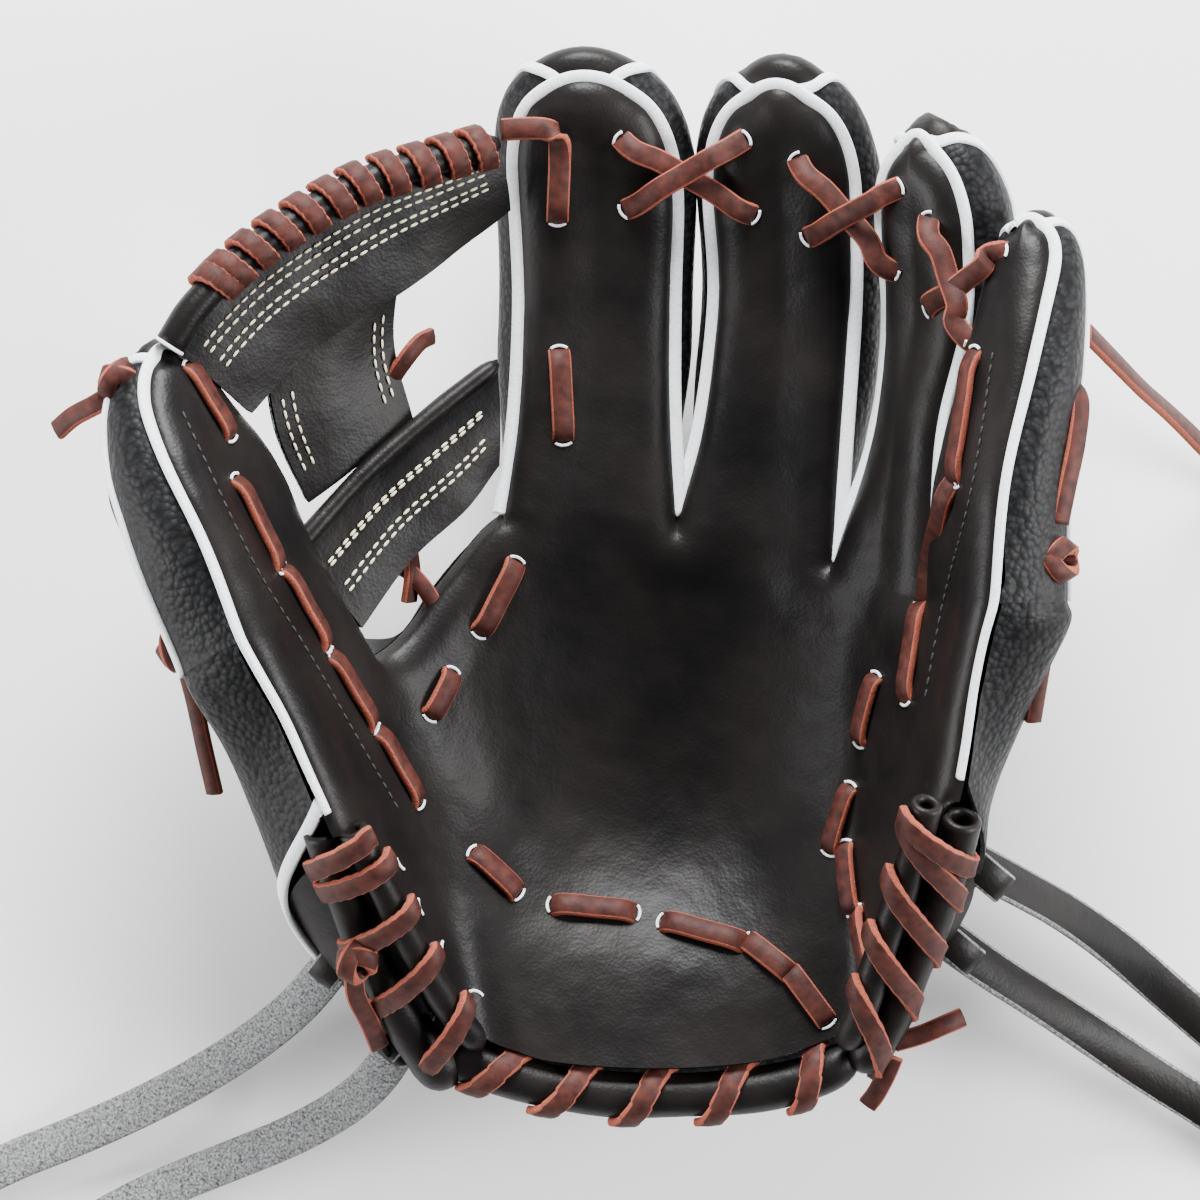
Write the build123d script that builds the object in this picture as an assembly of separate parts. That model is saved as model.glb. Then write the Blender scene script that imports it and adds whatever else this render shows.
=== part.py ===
from build123d import *
from math import pi, radians, tan
import os

# An infielder's fielding glove for the left hand, lying on its back, palm up.
# Millimetres. +X runs from the thumb to the little finger, +Y towards the fingertips and
# +Z up out of the palm. The origin is under the middle of the glove, on the surface it lies on.

CENTRE = Vector(2.5, 2.4, -0.59)     # moves the glove's own places onto the origin
DOWN = Vector(0, 0, -1)

SKIN = 3.0              # shell leather with its backing
PAD = 5.0               # felt under the palm
LINING = 1.6            # lining that the hand touches
FLEECE_T = 5.0          # fleece inside the wrist strap
WEB_T = 5.0             # web bars, two leathers and their filling
GAP = 0.4               # clearance between pieces
LACE_W = 6.0            # rawhide lace width
LACE_T = 2.6            # rawhide lace thickness
LACE_LIFT = 2.2         # lace's middle above the leather that it runs on
WELT_T = 1.8            # binding thickness between front and back
WELT_OUT = 1.6          # how far the binding stands out of the seam
STRAP_W = 11.0          # flat loop strap width
STRAP_T = 2.4           # flat loop strap thickness
ROLL_R = 6.5            # rolled leather along the heel
SIDE_ROLL_R = 4.4       # the smaller rolls up both sides of the heel
KNOT = (9.0, 8.0, 6.0)  # a pulled knot of lace
RUN_SHARE = 0.45        # a cord's arc takes this much of its shorter run

# Each stall: seam points on its two sides from the palm to the tip, depth of the back and
# rise of the front at each station. The index and middle stalls stay upright; the ring and
# little stalls fold with the outer wall, and the thumb folds with its own wall.
INDEX = dict(
    left=[(-18.3, 20.4, 46), (-15.4, 46, 45), (-13.8, 78, 47), (-15.1, 107, 54),
          (-14.5, 125, 61), (-7.1, 134, 66)],
    right=[(25.4, 18.7, 43), (25.4, 48, 43), (25.4, 78, 46), (25.6, 104, 53),
           (22.9, 124, 60), (15.2, 132, 66)],
    depth=[36, 27, 24, 22, 17, 6], rise=[2, 5, 7, 7, 5, 2])
MIDDLE = dict(
    left=[(28.6, 18.4, 43), (33.9, 44, 42), (38.4, 78, 45), (38, 107, 53),
          (38.6, 123, 61), (44.6, 132, 67)],
    right=[(66.2, 8.8, 50), (71.3, 46, 50), (73.1, 78, 53), (72.3, 104, 60),
           (69, 122, 66), (60.2, 130, 69)],
    depth=[34, 27, 24, 22, 17, 6], rise=[2, 5, 7, 7, 5, 2])
RING = dict(
    left=[(68.4, 4.0, 50.8), (79.4, 40, 54), (83.2, 71, 58), (82.1, 97, 66),
          (82.3, 110, 74), (85.7, 116, 80)],
    right=[(88.6, -1.0, 68), (95.3, 40, 76), (101.5, 69, 82), (101.4, 92, 88),
           (98, 107, 90), (92.1, 116, 88)],
    depth=[30, 26, 25, 23, 17, 6], rise=[2, 4, 6, 6, 4, 2])
LITTLE = dict(
    left=[(89.5, -1.0, 69.5), (94.9, 30, 86), (102.0, 57, 92), (106.8, 76, 93.5),
          (110.8, 89, 94), (114.8, 94.5, 95.5)],
    right=[(105.4, -1.4, 112), (110.1, 29, 114), (116.6, 57, 112), (120.5, 77, 108),
           (123.3, 89, 103), (121, 95, 99)],
    depth=[22, 24, 23, 21, 15, 6], rise=[1, 4, 5, 5, 3, 2])
THUMB = dict(
    left=[(-59.1, -58.8, 100), (-71.6, -34.5, 107), (-84, -9.8, 112), (-94.5, 12.5, 112),
          (-104.5, 33, 108), (-109.1, 49, 100), (-108.1, 61, 91)],
    right=[(-40.9, -58.2, 61), (-46.6, -37, 60.4), (-52.2, -16, 59.6), (-67.5, 8, 62),
           (-80.3, 35, 70), (-90.4, 49, 78), (-101.8, 60, 87)],
    depth=[17, 22, 26, 28, 26, 19, 6], rise=[0, 0, 0, 3, 5, 4, 2])
THUMB_WALL = dict(                  # the pocket's wall from the heel up to the thumb stall
    left=[(-33.5, -101, 70), (-45.3, -81, 85.5), (-59.4, -58.2, 100.2)],
    right=[(-30, -101, 61.8), (-35.2, -81, 61), (-41.0, -57.6, 61)],
    depth=[0, 0, 0], rise=[0, 0, 0])

# Curved sheets: (level along Y, places across at that level).
POCKET = [
    (-126, [(-32, 62), (-8, 60), (20, 60), (48, 60), (76, 61)]),
    (-104, [(-32, 61), (-8, 56), (20, 54), (48, 55), (76, 59)]),
    (-66, [(-42, 60), (-12, 45), (18, 41), (46, 44), (76, 57)]),
    (-25, [(-54, 58), (-16, 46), (15, 40), (44, 42), (76, 54)]),
    (4, [(-56, 57), (-20, 47), (8, 43), (38, 43), (74, 51)]),
    (24, [(-56, 56), (-18, 47), (8, 43), (38, 43), (74, 49)])]
PALM_OUTLINE = [(-25.2, -114.6), (-14.5, -120.5), (20, -124), (58, -120.5), (71.4, -114.1),
                (66.4, 9.4), (26.7, 19.6), (-18.3, 21.4), (-49.7, -15.6)]
OUTER_WALL = [
    (-108, [(72.4, 60), (73.5, 62), (74.8, 64.5), (76, 67)]),
    (-88, [(71.8, 58.5), (75, 63), (79, 71), (82.3, 82)]),
    (-53, [(70.3, 55.7), (79, 64), (88, 78), (96.2, 100)]),
    (-0.5, [(68.4, 51.4), (82, 61), (93, 78), (105.2, 111.8)])]
BACK = [(-34, [(-48, 12), (-15, 4), (17, 2), (48, 3), (66, 9)]),
        (-12, [(-50, 11), (-15, 3), (17, 1), (48, 2), (65, 8)]),
        (4, [(-50, 13), (-15, 4), (17, 2), (48, 3), (64, 9)]),
        (17, [(-46, 20), (-15, 8.5), (17, 6.5), (48, 7.5), (62, 14)])]
WRIST = [(-132, [(-26, 21), (-8, 15), (18, 13), (48, 14), (70, 20)]),
         (-112, [(-30, 19), (-10, 13), (18, 11), (48, 12), (68, 18)]),
         (-96, [(-34, 18), (-12, 12), (18, 10), (48, 11), (67, 17)])]
FLEECE = [(-130, [(-22, 19.5), (-6, 14.6), (18, 12.9), (44, 13.6), (62, 18)]),
          (-112, [(-25, 17.5), (-8, 12.8), (18, 11), (44, 11.8), (60, 16)]),
          (-98, [(-28, 16.5), (-10, 11.9), (18, 10.1), (44, 10.9), (60, 15)])]
THUMB_SIDE = [(-84, [(-60, 78), (-62, 60), (-53, 36), (-41, 19)]),
              (-55, [(-78, 74), (-80, 56), (-68, 30), (-48.5, 13)]),
              (-6, [(-99, 66), (-94, 48), (-80, 24), (-58, 11)])]
OUTER_SIDE = [(-84, [(99, 76), (99, 56), (88, 32), (75, 18)]),
              (-50, [(113, 78), (112, 58), (98, 26), (74, 12)]),
              (-4, [(124, 80), (118, 56), (102, 24), (72, 10)])]

# Rolled leather along the heel: the places its middle line passes.
HEEL_ROLL = [(-20, -130, 52), (4, -133, 50), (34, -133, 50), (62, -130, 52)]
THUMB_ROLL = [(-53, -67, 99), (-45.5, -82, 90), (-39, -97, 78), (-31, -112, 66)]
THUMB_WRIST_ROLL = [(-62, -68, 94), (-54, -84, 82), (-46, -101, 70), (-36, -118, 58)]
OUTER_ROLL = [(88, -58, 104), (83.5, -77, 89), (77, -96, 74), (72, -113, 66)]
OUTER_WRIST_ROLL = [(99.5, -62, 97), (93, -82, 82), (86, -101, 68), (78, -119, 57)]
HEEL_WRAPS = (0.14, 0.38, 0.62, 0.86)
SIDE_WRAPS = (0.1, 0.36, 0.62, 0.86)

# Web bars, from the thumb to the index stall: upper edge, lower edge.
WEB_TOP = dict(
    left=[(-99, 72, 94), (-82, 92, 90), (-58, 107, 83), (-21, 119, 69)],
    right=[(-86, 53, 82), (-70, 66, 77), (-45, 80, 70), (-19, 100, 60)],
    rise=[0, 1, 1, 0])
WEB_POST = dict(
    left=[(-49, 71, 67), (-44, 49, 57.5)], right=[(-77, 48.5, 77), (-71, 25, 63)], rise=[0, 0])
WEB_BOTTOM = dict(
    left=[(-65, 18.5, 63), (-46, 43, 57.5), (-20.5, 62, 50)],
    right=[(-50.5, -4, 57), (-38, 14, 53.5), (-20, 34, 47)], rise=[0, 1, 0])

# Loose straps and lace: the places their routes turn at, from where they leave the glove.
CORDS = {
    "thumb_strap_upper": [(-60, -92, 60), (-69, -105, 45), (-82, -117, 30), (-98, -128, 18),
                          (-116, -138, 10), (-136, -147, 6.5), (-157, -155, 6.5),
                          (-175, -165, 6.5)],
    "thumb_strap_lower": [(-42, -110, 48), (-48, -123, 37), (-58, -135, 26), (-74, -145, 16),
                          (-93, -153, 9), (-113, -161, 6.5), (-132, -171, 6.5),
                          (-149, -184, 6.5)],
    "outer_strap_upper": [(104, -70, 74), (117, -77, 62), (131, -85, 48), (145, -95, 34),
                          (158, -106, 20), (172, -118, 10), (187, -131, 6.5),
                          (201, -146, 6.5)],
    "outer_strap_lower": [(97, -90, 58), (109, -99, 47), (123, -108, 35), (138, -118, 24),
                          (154, -129, 14), (172, -140, 8), (189, -153, 6.5),
                          (204, -169, 6.5)],
    "lace_end": [(134, 68, 74), (142, 61, 63), (150, 54, 50), (157.5, 48.8, 36.5), (165.5, 42.5, 22.5),
                 (174, 35, 10), (183, 27, 4)]}


# Straight stitches of lace in the pocket's floor, (x, y) to (x, y), and along the thumb.
PALM_STITCHES = [((-16, 7.7), (-25, -9.5)), ((-33, -21.5), (-38, -31.5)),
                 ((-26.4, -69), (-16, -78.7)), ((-5.3, -83), (16, -85.5)),
                 ((22, -86), (44, -90)), ((49, -91.5), (60, -98))]
THUMB_STITCHES = [(5.8, 4.7), (3.8, 2.85), (2.8, 2.05), (1.95, 1.1), (1.0, 0.2)]
THUMB_LOOP = [((-50, -80, 58), (-59.5, -91, 60)), ((-39.5, -99, 51), (-42, -109, 48.5))]
LITTLE_LOOP = [((90, -62, 70), (103, -69.5, 74)), ((84, -80, 56), (96, -89, 58))]


def unit(vector):
    return vector * (1 / vector.length)


def frames(stall):
    """Middle, sideways direction, outward direction and half width at each station."""
    left = [Vector(*p) for p in stall["left"]]
    right = [Vector(*p) for p in stall["right"]]
    middle = [(a + b) * 0.5 for a, b in zip(left, right)]
    found = []
    for i, (a, b) in enumerate(zip(left, right)):
        along = middle[min(i + 1, len(middle) - 1)] - middle[max(i - 1, 0)]
        side = unit(b - a)
        out = unit(side.cross(along))
        found.append((middle[i], side, out, (b - a).length / 2))
    return found


def before(frame, distance):
    """The first station moved towards the palm."""
    middle, side, out, half = frame
    return (middle + unit(side.cross(out)) * distance, side, out, half)


def loft_profiles(profiles):
    """Solid through closed profiles, each a list of curves' points."""
    wires = []
    for curves in profiles:
        edges = [Spline(*c) if len(c) > 2 else Line(*c) for c in curves]
        wires.append(Wire(edges))
    return Solid.make_loft(wires)


def place(frame, across, out):
    middle, side, outward, _ = frame
    return middle + side * across + outward * out


def front_panel(stall, thick=SKIN):
    """Front of a stall or bar: a gently crowned sheet between its two seams."""
    profiles = []
    for frame, rise in zip(frames(stall), stall["rise"]):
        w = frame[3]
        top = [(-w, 0), (-0.55 * w, 0.75 * rise), (0, rise), (0.55 * w, 0.75 * rise), (w, 0)]
        low = [(a, b - thick) for a, b in reversed(top)]
        top_points = [place(frame, *p) for p in top]
        low_points = [place(frame, *p) for p in low]
        profiles.append([top_points, [top_points[-1], low_points[0]], low_points,
                         [low_points[-1], top_points[0]]])
    return loft_profiles(profiles)


def back_profile(frame, depth, inset):
    top = -SKIN - WELT_T - 2 * GAP + 0.3 * inset
    w = frame[3] - inset
    d = depth - inset
    curve = [(w, top), (0.92 * w, top - 0.5 * (d + top)), (0.5 * w, -0.9 * d), (0, -d),
             (-0.5 * w, -0.9 * d), (-0.92 * w, top - 0.5 * (d + top)), (-w, top)]
    points = [place(frame, *p) for p in curve]
    return [points, [points[-1], points[0]]]


def back_shell(stall):
    """Back of a stall: a trough of leather, closed at the tip and open at the palm."""
    stations = frames(stall)
    depths = [max(d, 3.4 * SKIN) for d in stall["depth"]]
    outer = [back_profile(f, d, 0) for f, d in zip(stations, depths)]
    hollow = [before(stations[0], 2)] + stations[1:-1]
    inner = [back_profile(f, d, SKIN) for f, d in zip(hollow, stall["depth"])]
    return loft_profiles(outer) - loft_profiles(inner)


def welting(stall):
    """Binding sewn between the front and the back, standing a little out of the seam."""
    def plate(stations, inset, top, low):
        profiles = []
        for frame in stations:
            w = frame[3] - inset
            corners = [place(frame, a, b) for a, b in
                       [(-w, top), (w, top), (w, low), (-w, low)]]
            profiles.append([[corners[i], corners[(i + 1) % 4]] for i in range(4)])
        return loft_profiles(profiles)
    stations = frames(stall)
    top, low = -SKIN - GAP, -SKIN - GAP - WELT_T
    hollow = [before(stations[0], 4)] + stations[1:-1]
    return plate(stations, -WELT_OUT, top, low) - plate(hollow, 4, top + 2, low - 2)


def pad(stall, first, last):
    """Felt that lies under the front, inside the back's trough."""
    profiles = []
    for frame in frames(stall)[first:last]:
        w = 0.64 * frame[3]
        top = -SKIN - WELT_T - 4 * GAP
        low = top - 4.5
        a = [place(frame, *p) for p in [(-w, top), (w, top)]]
        b = [place(frame, *p) for p in [(w, top - 1), (0.5 * w, low), (-0.5 * w, low),
                                        (-w, top - 1)]]
        profiles.append([a, [a[1], b[0]], b, [b[-1], a[0]]])
    return loft_profiles(profiles)


def sheet(levels, thick, drop=Vector(0, 0, 0)):
    """Curved sheet through lines at several levels, thickened by a vector."""
    profiles = []
    for y, points in levels:
        top = [Vector(x, y, z) + drop for x, z in points]
        low = [p + thick for p in reversed(top)]
        profiles.append([top, [top[-1], low[0]], low, [low[-1], top[0]]])
    return loft_profiles(profiles)


def prism(outline, low=-5, high=130):
    return Pos(0, 0, low) * extrude(make_face(Polyline(*outline, close=True)), high - low)


def shrink(outline, share):
    cx = sum(p[0] for p in outline) / len(outline)
    cy = sum(p[1] for p in outline) / len(outline)
    return [(cx + (x - cx) * share, cy + (y - cy) * share) for x, y in outline]


def group(solids):
    return Compound(children=[solid for shape in solids for solid in shape.solids()])


def strip(start, end, normal, width=LACE_W, thick=LACE_T):
    """Flat straight piece of lace between two places."""
    start, end = Vector(*start), Vector(*end)
    along = end - start
    across = Vector(*normal).cross(along)
    plane = Plane(origin=(start + end) * 0.5, x_dir=unit(along), z_dir=unit(along.cross(across)))
    return plane * Box(along.length, width, thick)


def knot(where, turn=0):
    return Pos(*where) * Rot(0, 0, turn) * fillet(Box(*KNOT).edges(), 2)


def on_front(stall, station, share, lift=LACE_LIFT):
    """Place on a stall's front: station along it, share of its half width, height above."""
    stations = frames(stall)
    i = min(int(station), len(stations) - 2)
    f = station - i
    spots = []
    for frame, rise in zip(stations[i:i + 2], stall["rise"][i:i + 2]):
        spots.append(place(frame, share * frame[3], rise * (1 - share ** 2) + lift))
    return spots[0] * (1 - f) + spots[1] * f


def front_run(stall, first, last, share, share_end=None):
    """Lace along a stall's front between two stations."""
    a = on_front(stall, first, share)
    b = on_front(stall, last, share if share_end is None else share_end)
    normal = frames(stall)[min(int(first), len(stall["left"]) - 1)][2]
    return strip(a, b, normal)


def on_pocket(x, y, lift=LACE_LIFT):
    """Place just above the pocket's floor."""
    heights = []
    for level, points in POCKET:
        for (x0, z0), (x1, z1) in zip(points, points[1:]):
            if x0 <= x <= x1:
                heights.append((level, z0 + (z1 - z0) * (x - x0) / (x1 - x0)))
    for (y0, z0), (y1, z1) in zip(heights, heights[1:]):
        if y0 <= y <= y1:
            return Vector(x, y, z0 + (z1 - z0) * (y - y0) / (y1 - y0) + lift)


def rod_along(points, radius):
    """Round bar whose middle line passes through the places."""
    path = Spline(*[Vector(*p) for p in points])
    return sweep(Plane(origin=path @ 0, z_dir=path % 0) * Circle(radius), path=path)


def wrap(points, share, radius):
    """Lace wrapped round a roll, at a share of the roll's length."""
    path = Spline(*[Vector(*p) for p in points])
    here = Plane(origin=path @ share, z_dir=path % share)
    return here * (Cylinder(radius + 2 * GAP + LACE_T, LACE_W)
                   - Cylinder(radius + 2 * GAP, LACE_W))


def over_rolls(first, second, share):
    """Lace pulled over two rolls that lie side by side."""
    a, b = (Spline(*[Vector(*p) for p in line]) for line in (first, second))
    across = unit(b @ share - a @ share)
    up = unit((a % share).cross(across)) * (SIDE_ROLL_R + LACE_T / 2 + GAP)
    up = up if up.Z > 0 else up * -1
    reach = across * SIDE_ROLL_R
    return strip(a @ share - reach + up, b @ share + reach + up, up)


def cord_tube(name, points, width):
    """Loose strap as a tube along straight runs joined by tangent arcs."""
    points = [Vector(*p) for p in points]
    radii = []
    for a, b, c in zip(points, points[1:], points[2:]):
        turn = (b - a).get_angle(c - b)
        shorter = min((b - a).length, (c - b).length)
        radii.append(RUN_SHARE * shorter / tan(radians(turn / 2)))
    path = FilletPolyline(*points, radius=radii)
    tube = sweep(Plane(origin=path @ 0, z_dir=path % 0) * Circle(width / 2), path=path)
    share = tube.volume / (pi * width ** 2 / 4 * path.length)
    print(name, "length", round(path.length, 1), "radii", [round(r, 1) for r in radii],
          "volume over section times length", round(share, 3))
    return tube


parts = {}


def add(name, shape):
    parts[name] = Pos(*CENTRE) * shape


# Palm body: the pocket, the two upright stalls, the back of the hand and the wrist strap
add("palm_shell", (sheet(POCKET, DOWN * SKIN) & prism(PALM_OUTLINE))
    + front_panel(INDEX) + front_panel(MIDDLE))
add("palm_pad", sheet(POCKET, DOWN * PAD, DOWN * (SKIN + GAP)) & prism(shrink(PALM_OUTLINE, 0.9)))
add("palm_liner", sheet(POCKET, DOWN * LINING, DOWN * (SKIN + PAD + 2 * GAP))
    & prism(shrink(PALM_OUTLINE, 0.94)))
add("hand_back_shell", sheet(BACK, DOWN * -SKIN))
add("wrist_strap", sheet(WRIST, DOWN * -SKIN))
add("wrist_fleece", sheet(FLEECE, DOWN * -FLEECE_T, DOWN * (-SKIN - GAP)))
add("heel_roll", rod_along(HEEL_ROLL, ROLL_R))
add("heel_lace", group(wrap(HEEL_ROLL, s, ROLL_R) for s in HEEL_WRAPS))

# Thumb body
add("thumb_shell", front_panel(THUMB_WALL) + front_panel(THUMB))
add("thumb_side_panel", sheet(THUMB_SIDE, Vector(0.9, 0, 0.35) * SKIN))

# Little finger body: the outer wall of the pocket with the ring and little stalls
add("outer_shell", sheet(OUTER_WALL, Vector(0.8, 0, -0.6) * SKIN)
    + front_panel(RING) + front_panel(LITTLE))
add("outer_side_panel", sheet(OUTER_SIDE, Vector(-0.9, 0, 0.35) * SKIN))

for name, stall in (("index", INDEX), ("middle", MIDDLE), ("ring", RING), ("little", LITTLE),
                    ("thumb", THUMB)):
    add(name + "_back_shell", back_shell(stall))
    add(name + "_welting", welting(stall))
    add(name + "_pad", pad(stall, 2, 5))

for side, heel, wrist in (("thumb", THUMB_ROLL, THUMB_WRIST_ROLL),
                          ("outer", OUTER_ROLL, OUTER_WRIST_ROLL)):
    add(side + "_heel_roll", rod_along(heel, SIDE_ROLL_R))
    add(side + "_wrist_roll", rod_along(wrist, SIDE_ROLL_R))

# Web between the thumb and the index stall
for name, bar in (("web_top_bar", WEB_TOP), ("web_post", WEB_POST),
                  ("web_bottom_bar", WEB_BOTTOM)):
    add(name, front_panel(bar, WEB_T))

# Lacing
add("web_lace", group(strip(on_front(WEB_TOP, s * 0.29, -0.5), on_front(WEB_TOP, s * 0.29, -1.1),
                            (0, 0, 1)) for s in range(11)))
add("web_base_lace", group([strip((-45, 6, 61), (-32, 0, 56), (0, 0, 1)),
                            front_run(WEB_BOTTOM, 0.9, 1.6, -0.9)]))
add("fingertip_lace", group([strip((15, 118, 71), (44, 100.5, 65), (0, -0.3, 1)),
                             strip((14, 101.8, 66), (43, 118.5, 76), (0, -0.3, 1))]))
add("ring_lace", group([strip((60, 112, 79), (78.5, 92, 77), (-0.4, -0.3, 1)),
                        strip((62, 94, 75), (78, 102, 87), (-0.4, -0.3, 1))]))
add("little_lace", group([strip((92, 97, 97), (104, 66, 98), (-0.7, -0.2, 1)),
                          strip((93, 74, 95), (109, 88, 102), (-0.7, -0.2, 1))]))
add("index_lace", group([front_run(INDEX, 4, 3.9, -0.95, -0.4), front_run(INDEX, 3.8, 3, -0.4),
                         front_run(INDEX, 1.6, 0.8, -0.4)]))
add("palm_lace", group(strip(on_pocket(*a), on_pocket(*b), (0, 0, 1)) for a, b in PALM_STITCHES))
add("thumb_lace", group(front_run(THUMB, a, b, 0.42) for a, b in THUMB_STITCHES))
add("outer_lace", group([front_run(LITTLE, 2.2, 1.1, -0.75), front_run(LITTLE, 1, 0.1, -0.7)]))
add("thumb_heel_lace", group(over_rolls(THUMB_WRIST_ROLL, THUMB_ROLL, s) for s in SIDE_WRAPS))
add("outer_heel_lace", group(over_rolls(OUTER_ROLL, OUTER_WRIST_ROLL, s) for s in SIDE_WRAPS))
add("thumb_tip_lace", group([knot((-120, 54, 92), 30),
                             strip((-125, 50, 89), (-137, 42, 82), (0, 0, 1))]))
add("thumb_back_lace", group([strip((-119, 27, 101), (-107, 6, 99), (-0.4, 0, 1)),
                              knot((-102, -14, 92), 60),
                              strip((-99, -24, 86), (-94, -52, 74), (-0.6, 0, 1))]))
add("outer_back_lace", group([strip((131, 52, 108), (124, 18, 110), (0.4, 0, 1)),
                              knot((125, 9, 105), 60),
                              strip((123, -2, 100), (119, -33, 88), (0.6, 0, 1))]))
add("thumb_loop", group(strip(a, b, (0.3, 0, 1), STRAP_W, STRAP_T) for a, b in THUMB_LOOP))
add("little_loop", group(strip(a, b, (-0.3, 0, 1), STRAP_W, STRAP_T) for a, b in LITTLE_LOOP))

# Loose straps and the loose lace end
for name, points in CORDS.items():
    add(name, cord_tube(name, points, LACE_W if name == "lace_end" else STRAP_W))

os.makedirs("parts", exist_ok=True)
for name, shape in parts.items():
    export_step(shape, "parts/" + name + ".step")
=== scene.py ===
from math import atan, cos, pi, sin

import bpy
import numpy as np
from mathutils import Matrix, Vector, noise


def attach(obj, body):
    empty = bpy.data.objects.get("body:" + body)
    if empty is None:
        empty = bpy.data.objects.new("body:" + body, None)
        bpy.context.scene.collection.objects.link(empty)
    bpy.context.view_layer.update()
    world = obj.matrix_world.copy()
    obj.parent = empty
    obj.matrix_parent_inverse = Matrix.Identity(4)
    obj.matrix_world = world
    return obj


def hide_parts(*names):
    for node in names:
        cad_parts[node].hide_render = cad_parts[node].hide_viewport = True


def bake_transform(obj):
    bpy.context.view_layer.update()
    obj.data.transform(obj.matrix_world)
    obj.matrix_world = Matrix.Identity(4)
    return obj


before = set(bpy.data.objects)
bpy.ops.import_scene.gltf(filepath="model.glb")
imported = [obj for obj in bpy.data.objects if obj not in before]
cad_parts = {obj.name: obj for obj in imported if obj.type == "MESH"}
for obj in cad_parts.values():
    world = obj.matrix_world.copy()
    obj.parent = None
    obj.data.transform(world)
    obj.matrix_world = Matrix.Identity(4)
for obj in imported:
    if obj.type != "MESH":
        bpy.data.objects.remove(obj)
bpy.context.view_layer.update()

# Places are written in millimetres from the glove's own datum, which lies HOME from the frame's.
MM = 0.001
HOME = np.array((2.5, 2.4, -0.6))

# ---------------------------------------------------------------- driving sizes, millimetres
LACE_W = 5.9
LACE_T = 2.2
STRAP_W = 11.0
STRAP_T = 2.2
WELT_W = 3.7
WELT_T = 1.5
HIDE = 2.2              # leather of the shell
CROWN = 5.5             # how far a stall's front rises over its seam
CROWN_EDGE = 9.0        # width of the rounding beside the seam
HEEL_R = 6.0            # radius of the roll along the heel
WEB_R = 4.0             # radius of the roll along the web's top

# Palm surface: rows from the heel to the foot of the stalls, columns from the thumb's seam to
# the little finger's. Column 2 is the thumb crease and column 8 the outer crease.
PALM_ROWS = [
    [(-56, -60, 103), (-46, -81, 87), (-25.8, -113.5, 62), (-13, -121, 60), (0, -123.5, 60),
     (18, -124.5, 60), (36, -124, 60), (54, -121.5, 60), (71.8, -114.1, 60), (75.5, -105, 67),
     (80.5, -92, 78), (88, -73, 90), (93, -53, 102)],
    [(-63, -45, 106), (-51, -58, 83), (-32.8, -85, 60.8), (-18, -94, 56), (-3, -97, 54.5),
     (16, -98, 54), (34, -98, 54.3), (53, -96, 56), (70.5, -84, 57.5), (76, -76, 65),
     (82, -67, 76), (90, -54, 91), (95.5, -38, 106)],
    [(-69.6, -30, 109), (-57, -38, 83), (-40.2, -55, 59.6), (-24, -60, 48), (-7, -62, 43),
     (13, -63, 40.5), (32, -62, 41), (51, -59, 45), (69.3, -52, 55), (76.5, -46, 64),
     (84, -40, 76), (92.5, -31, 92), (97.5, -23, 109)],
    [(-75.6, -19, 112), (-62, -24, 84), (-45.6, -33, 58.7), (-30, -27, 49), (-13, -21, 45),
     (8, -20, 42), (29, -22, 41.5), (49, -22, 44.5), (68, -21, 53), (77, -19, 62),
     (86.5, -16, 74), (95, -12.5, 92), (100, -10, 112)],
    [(-80.6, -10, 114), (-66, -13, 86), (-49.8, -16, 59), (-34, 2.5, 52), (-18.5, 20.4, 50),
     (4, 21, 49), (27, 18.5, 47.5), (47, 14.5, 49), (66.8, 8.2, 53.5), (78, 4, 61.5),
     (89, -1, 72), (96, -1.5, 91), (102.4, -1.4, 114.5)]]

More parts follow.
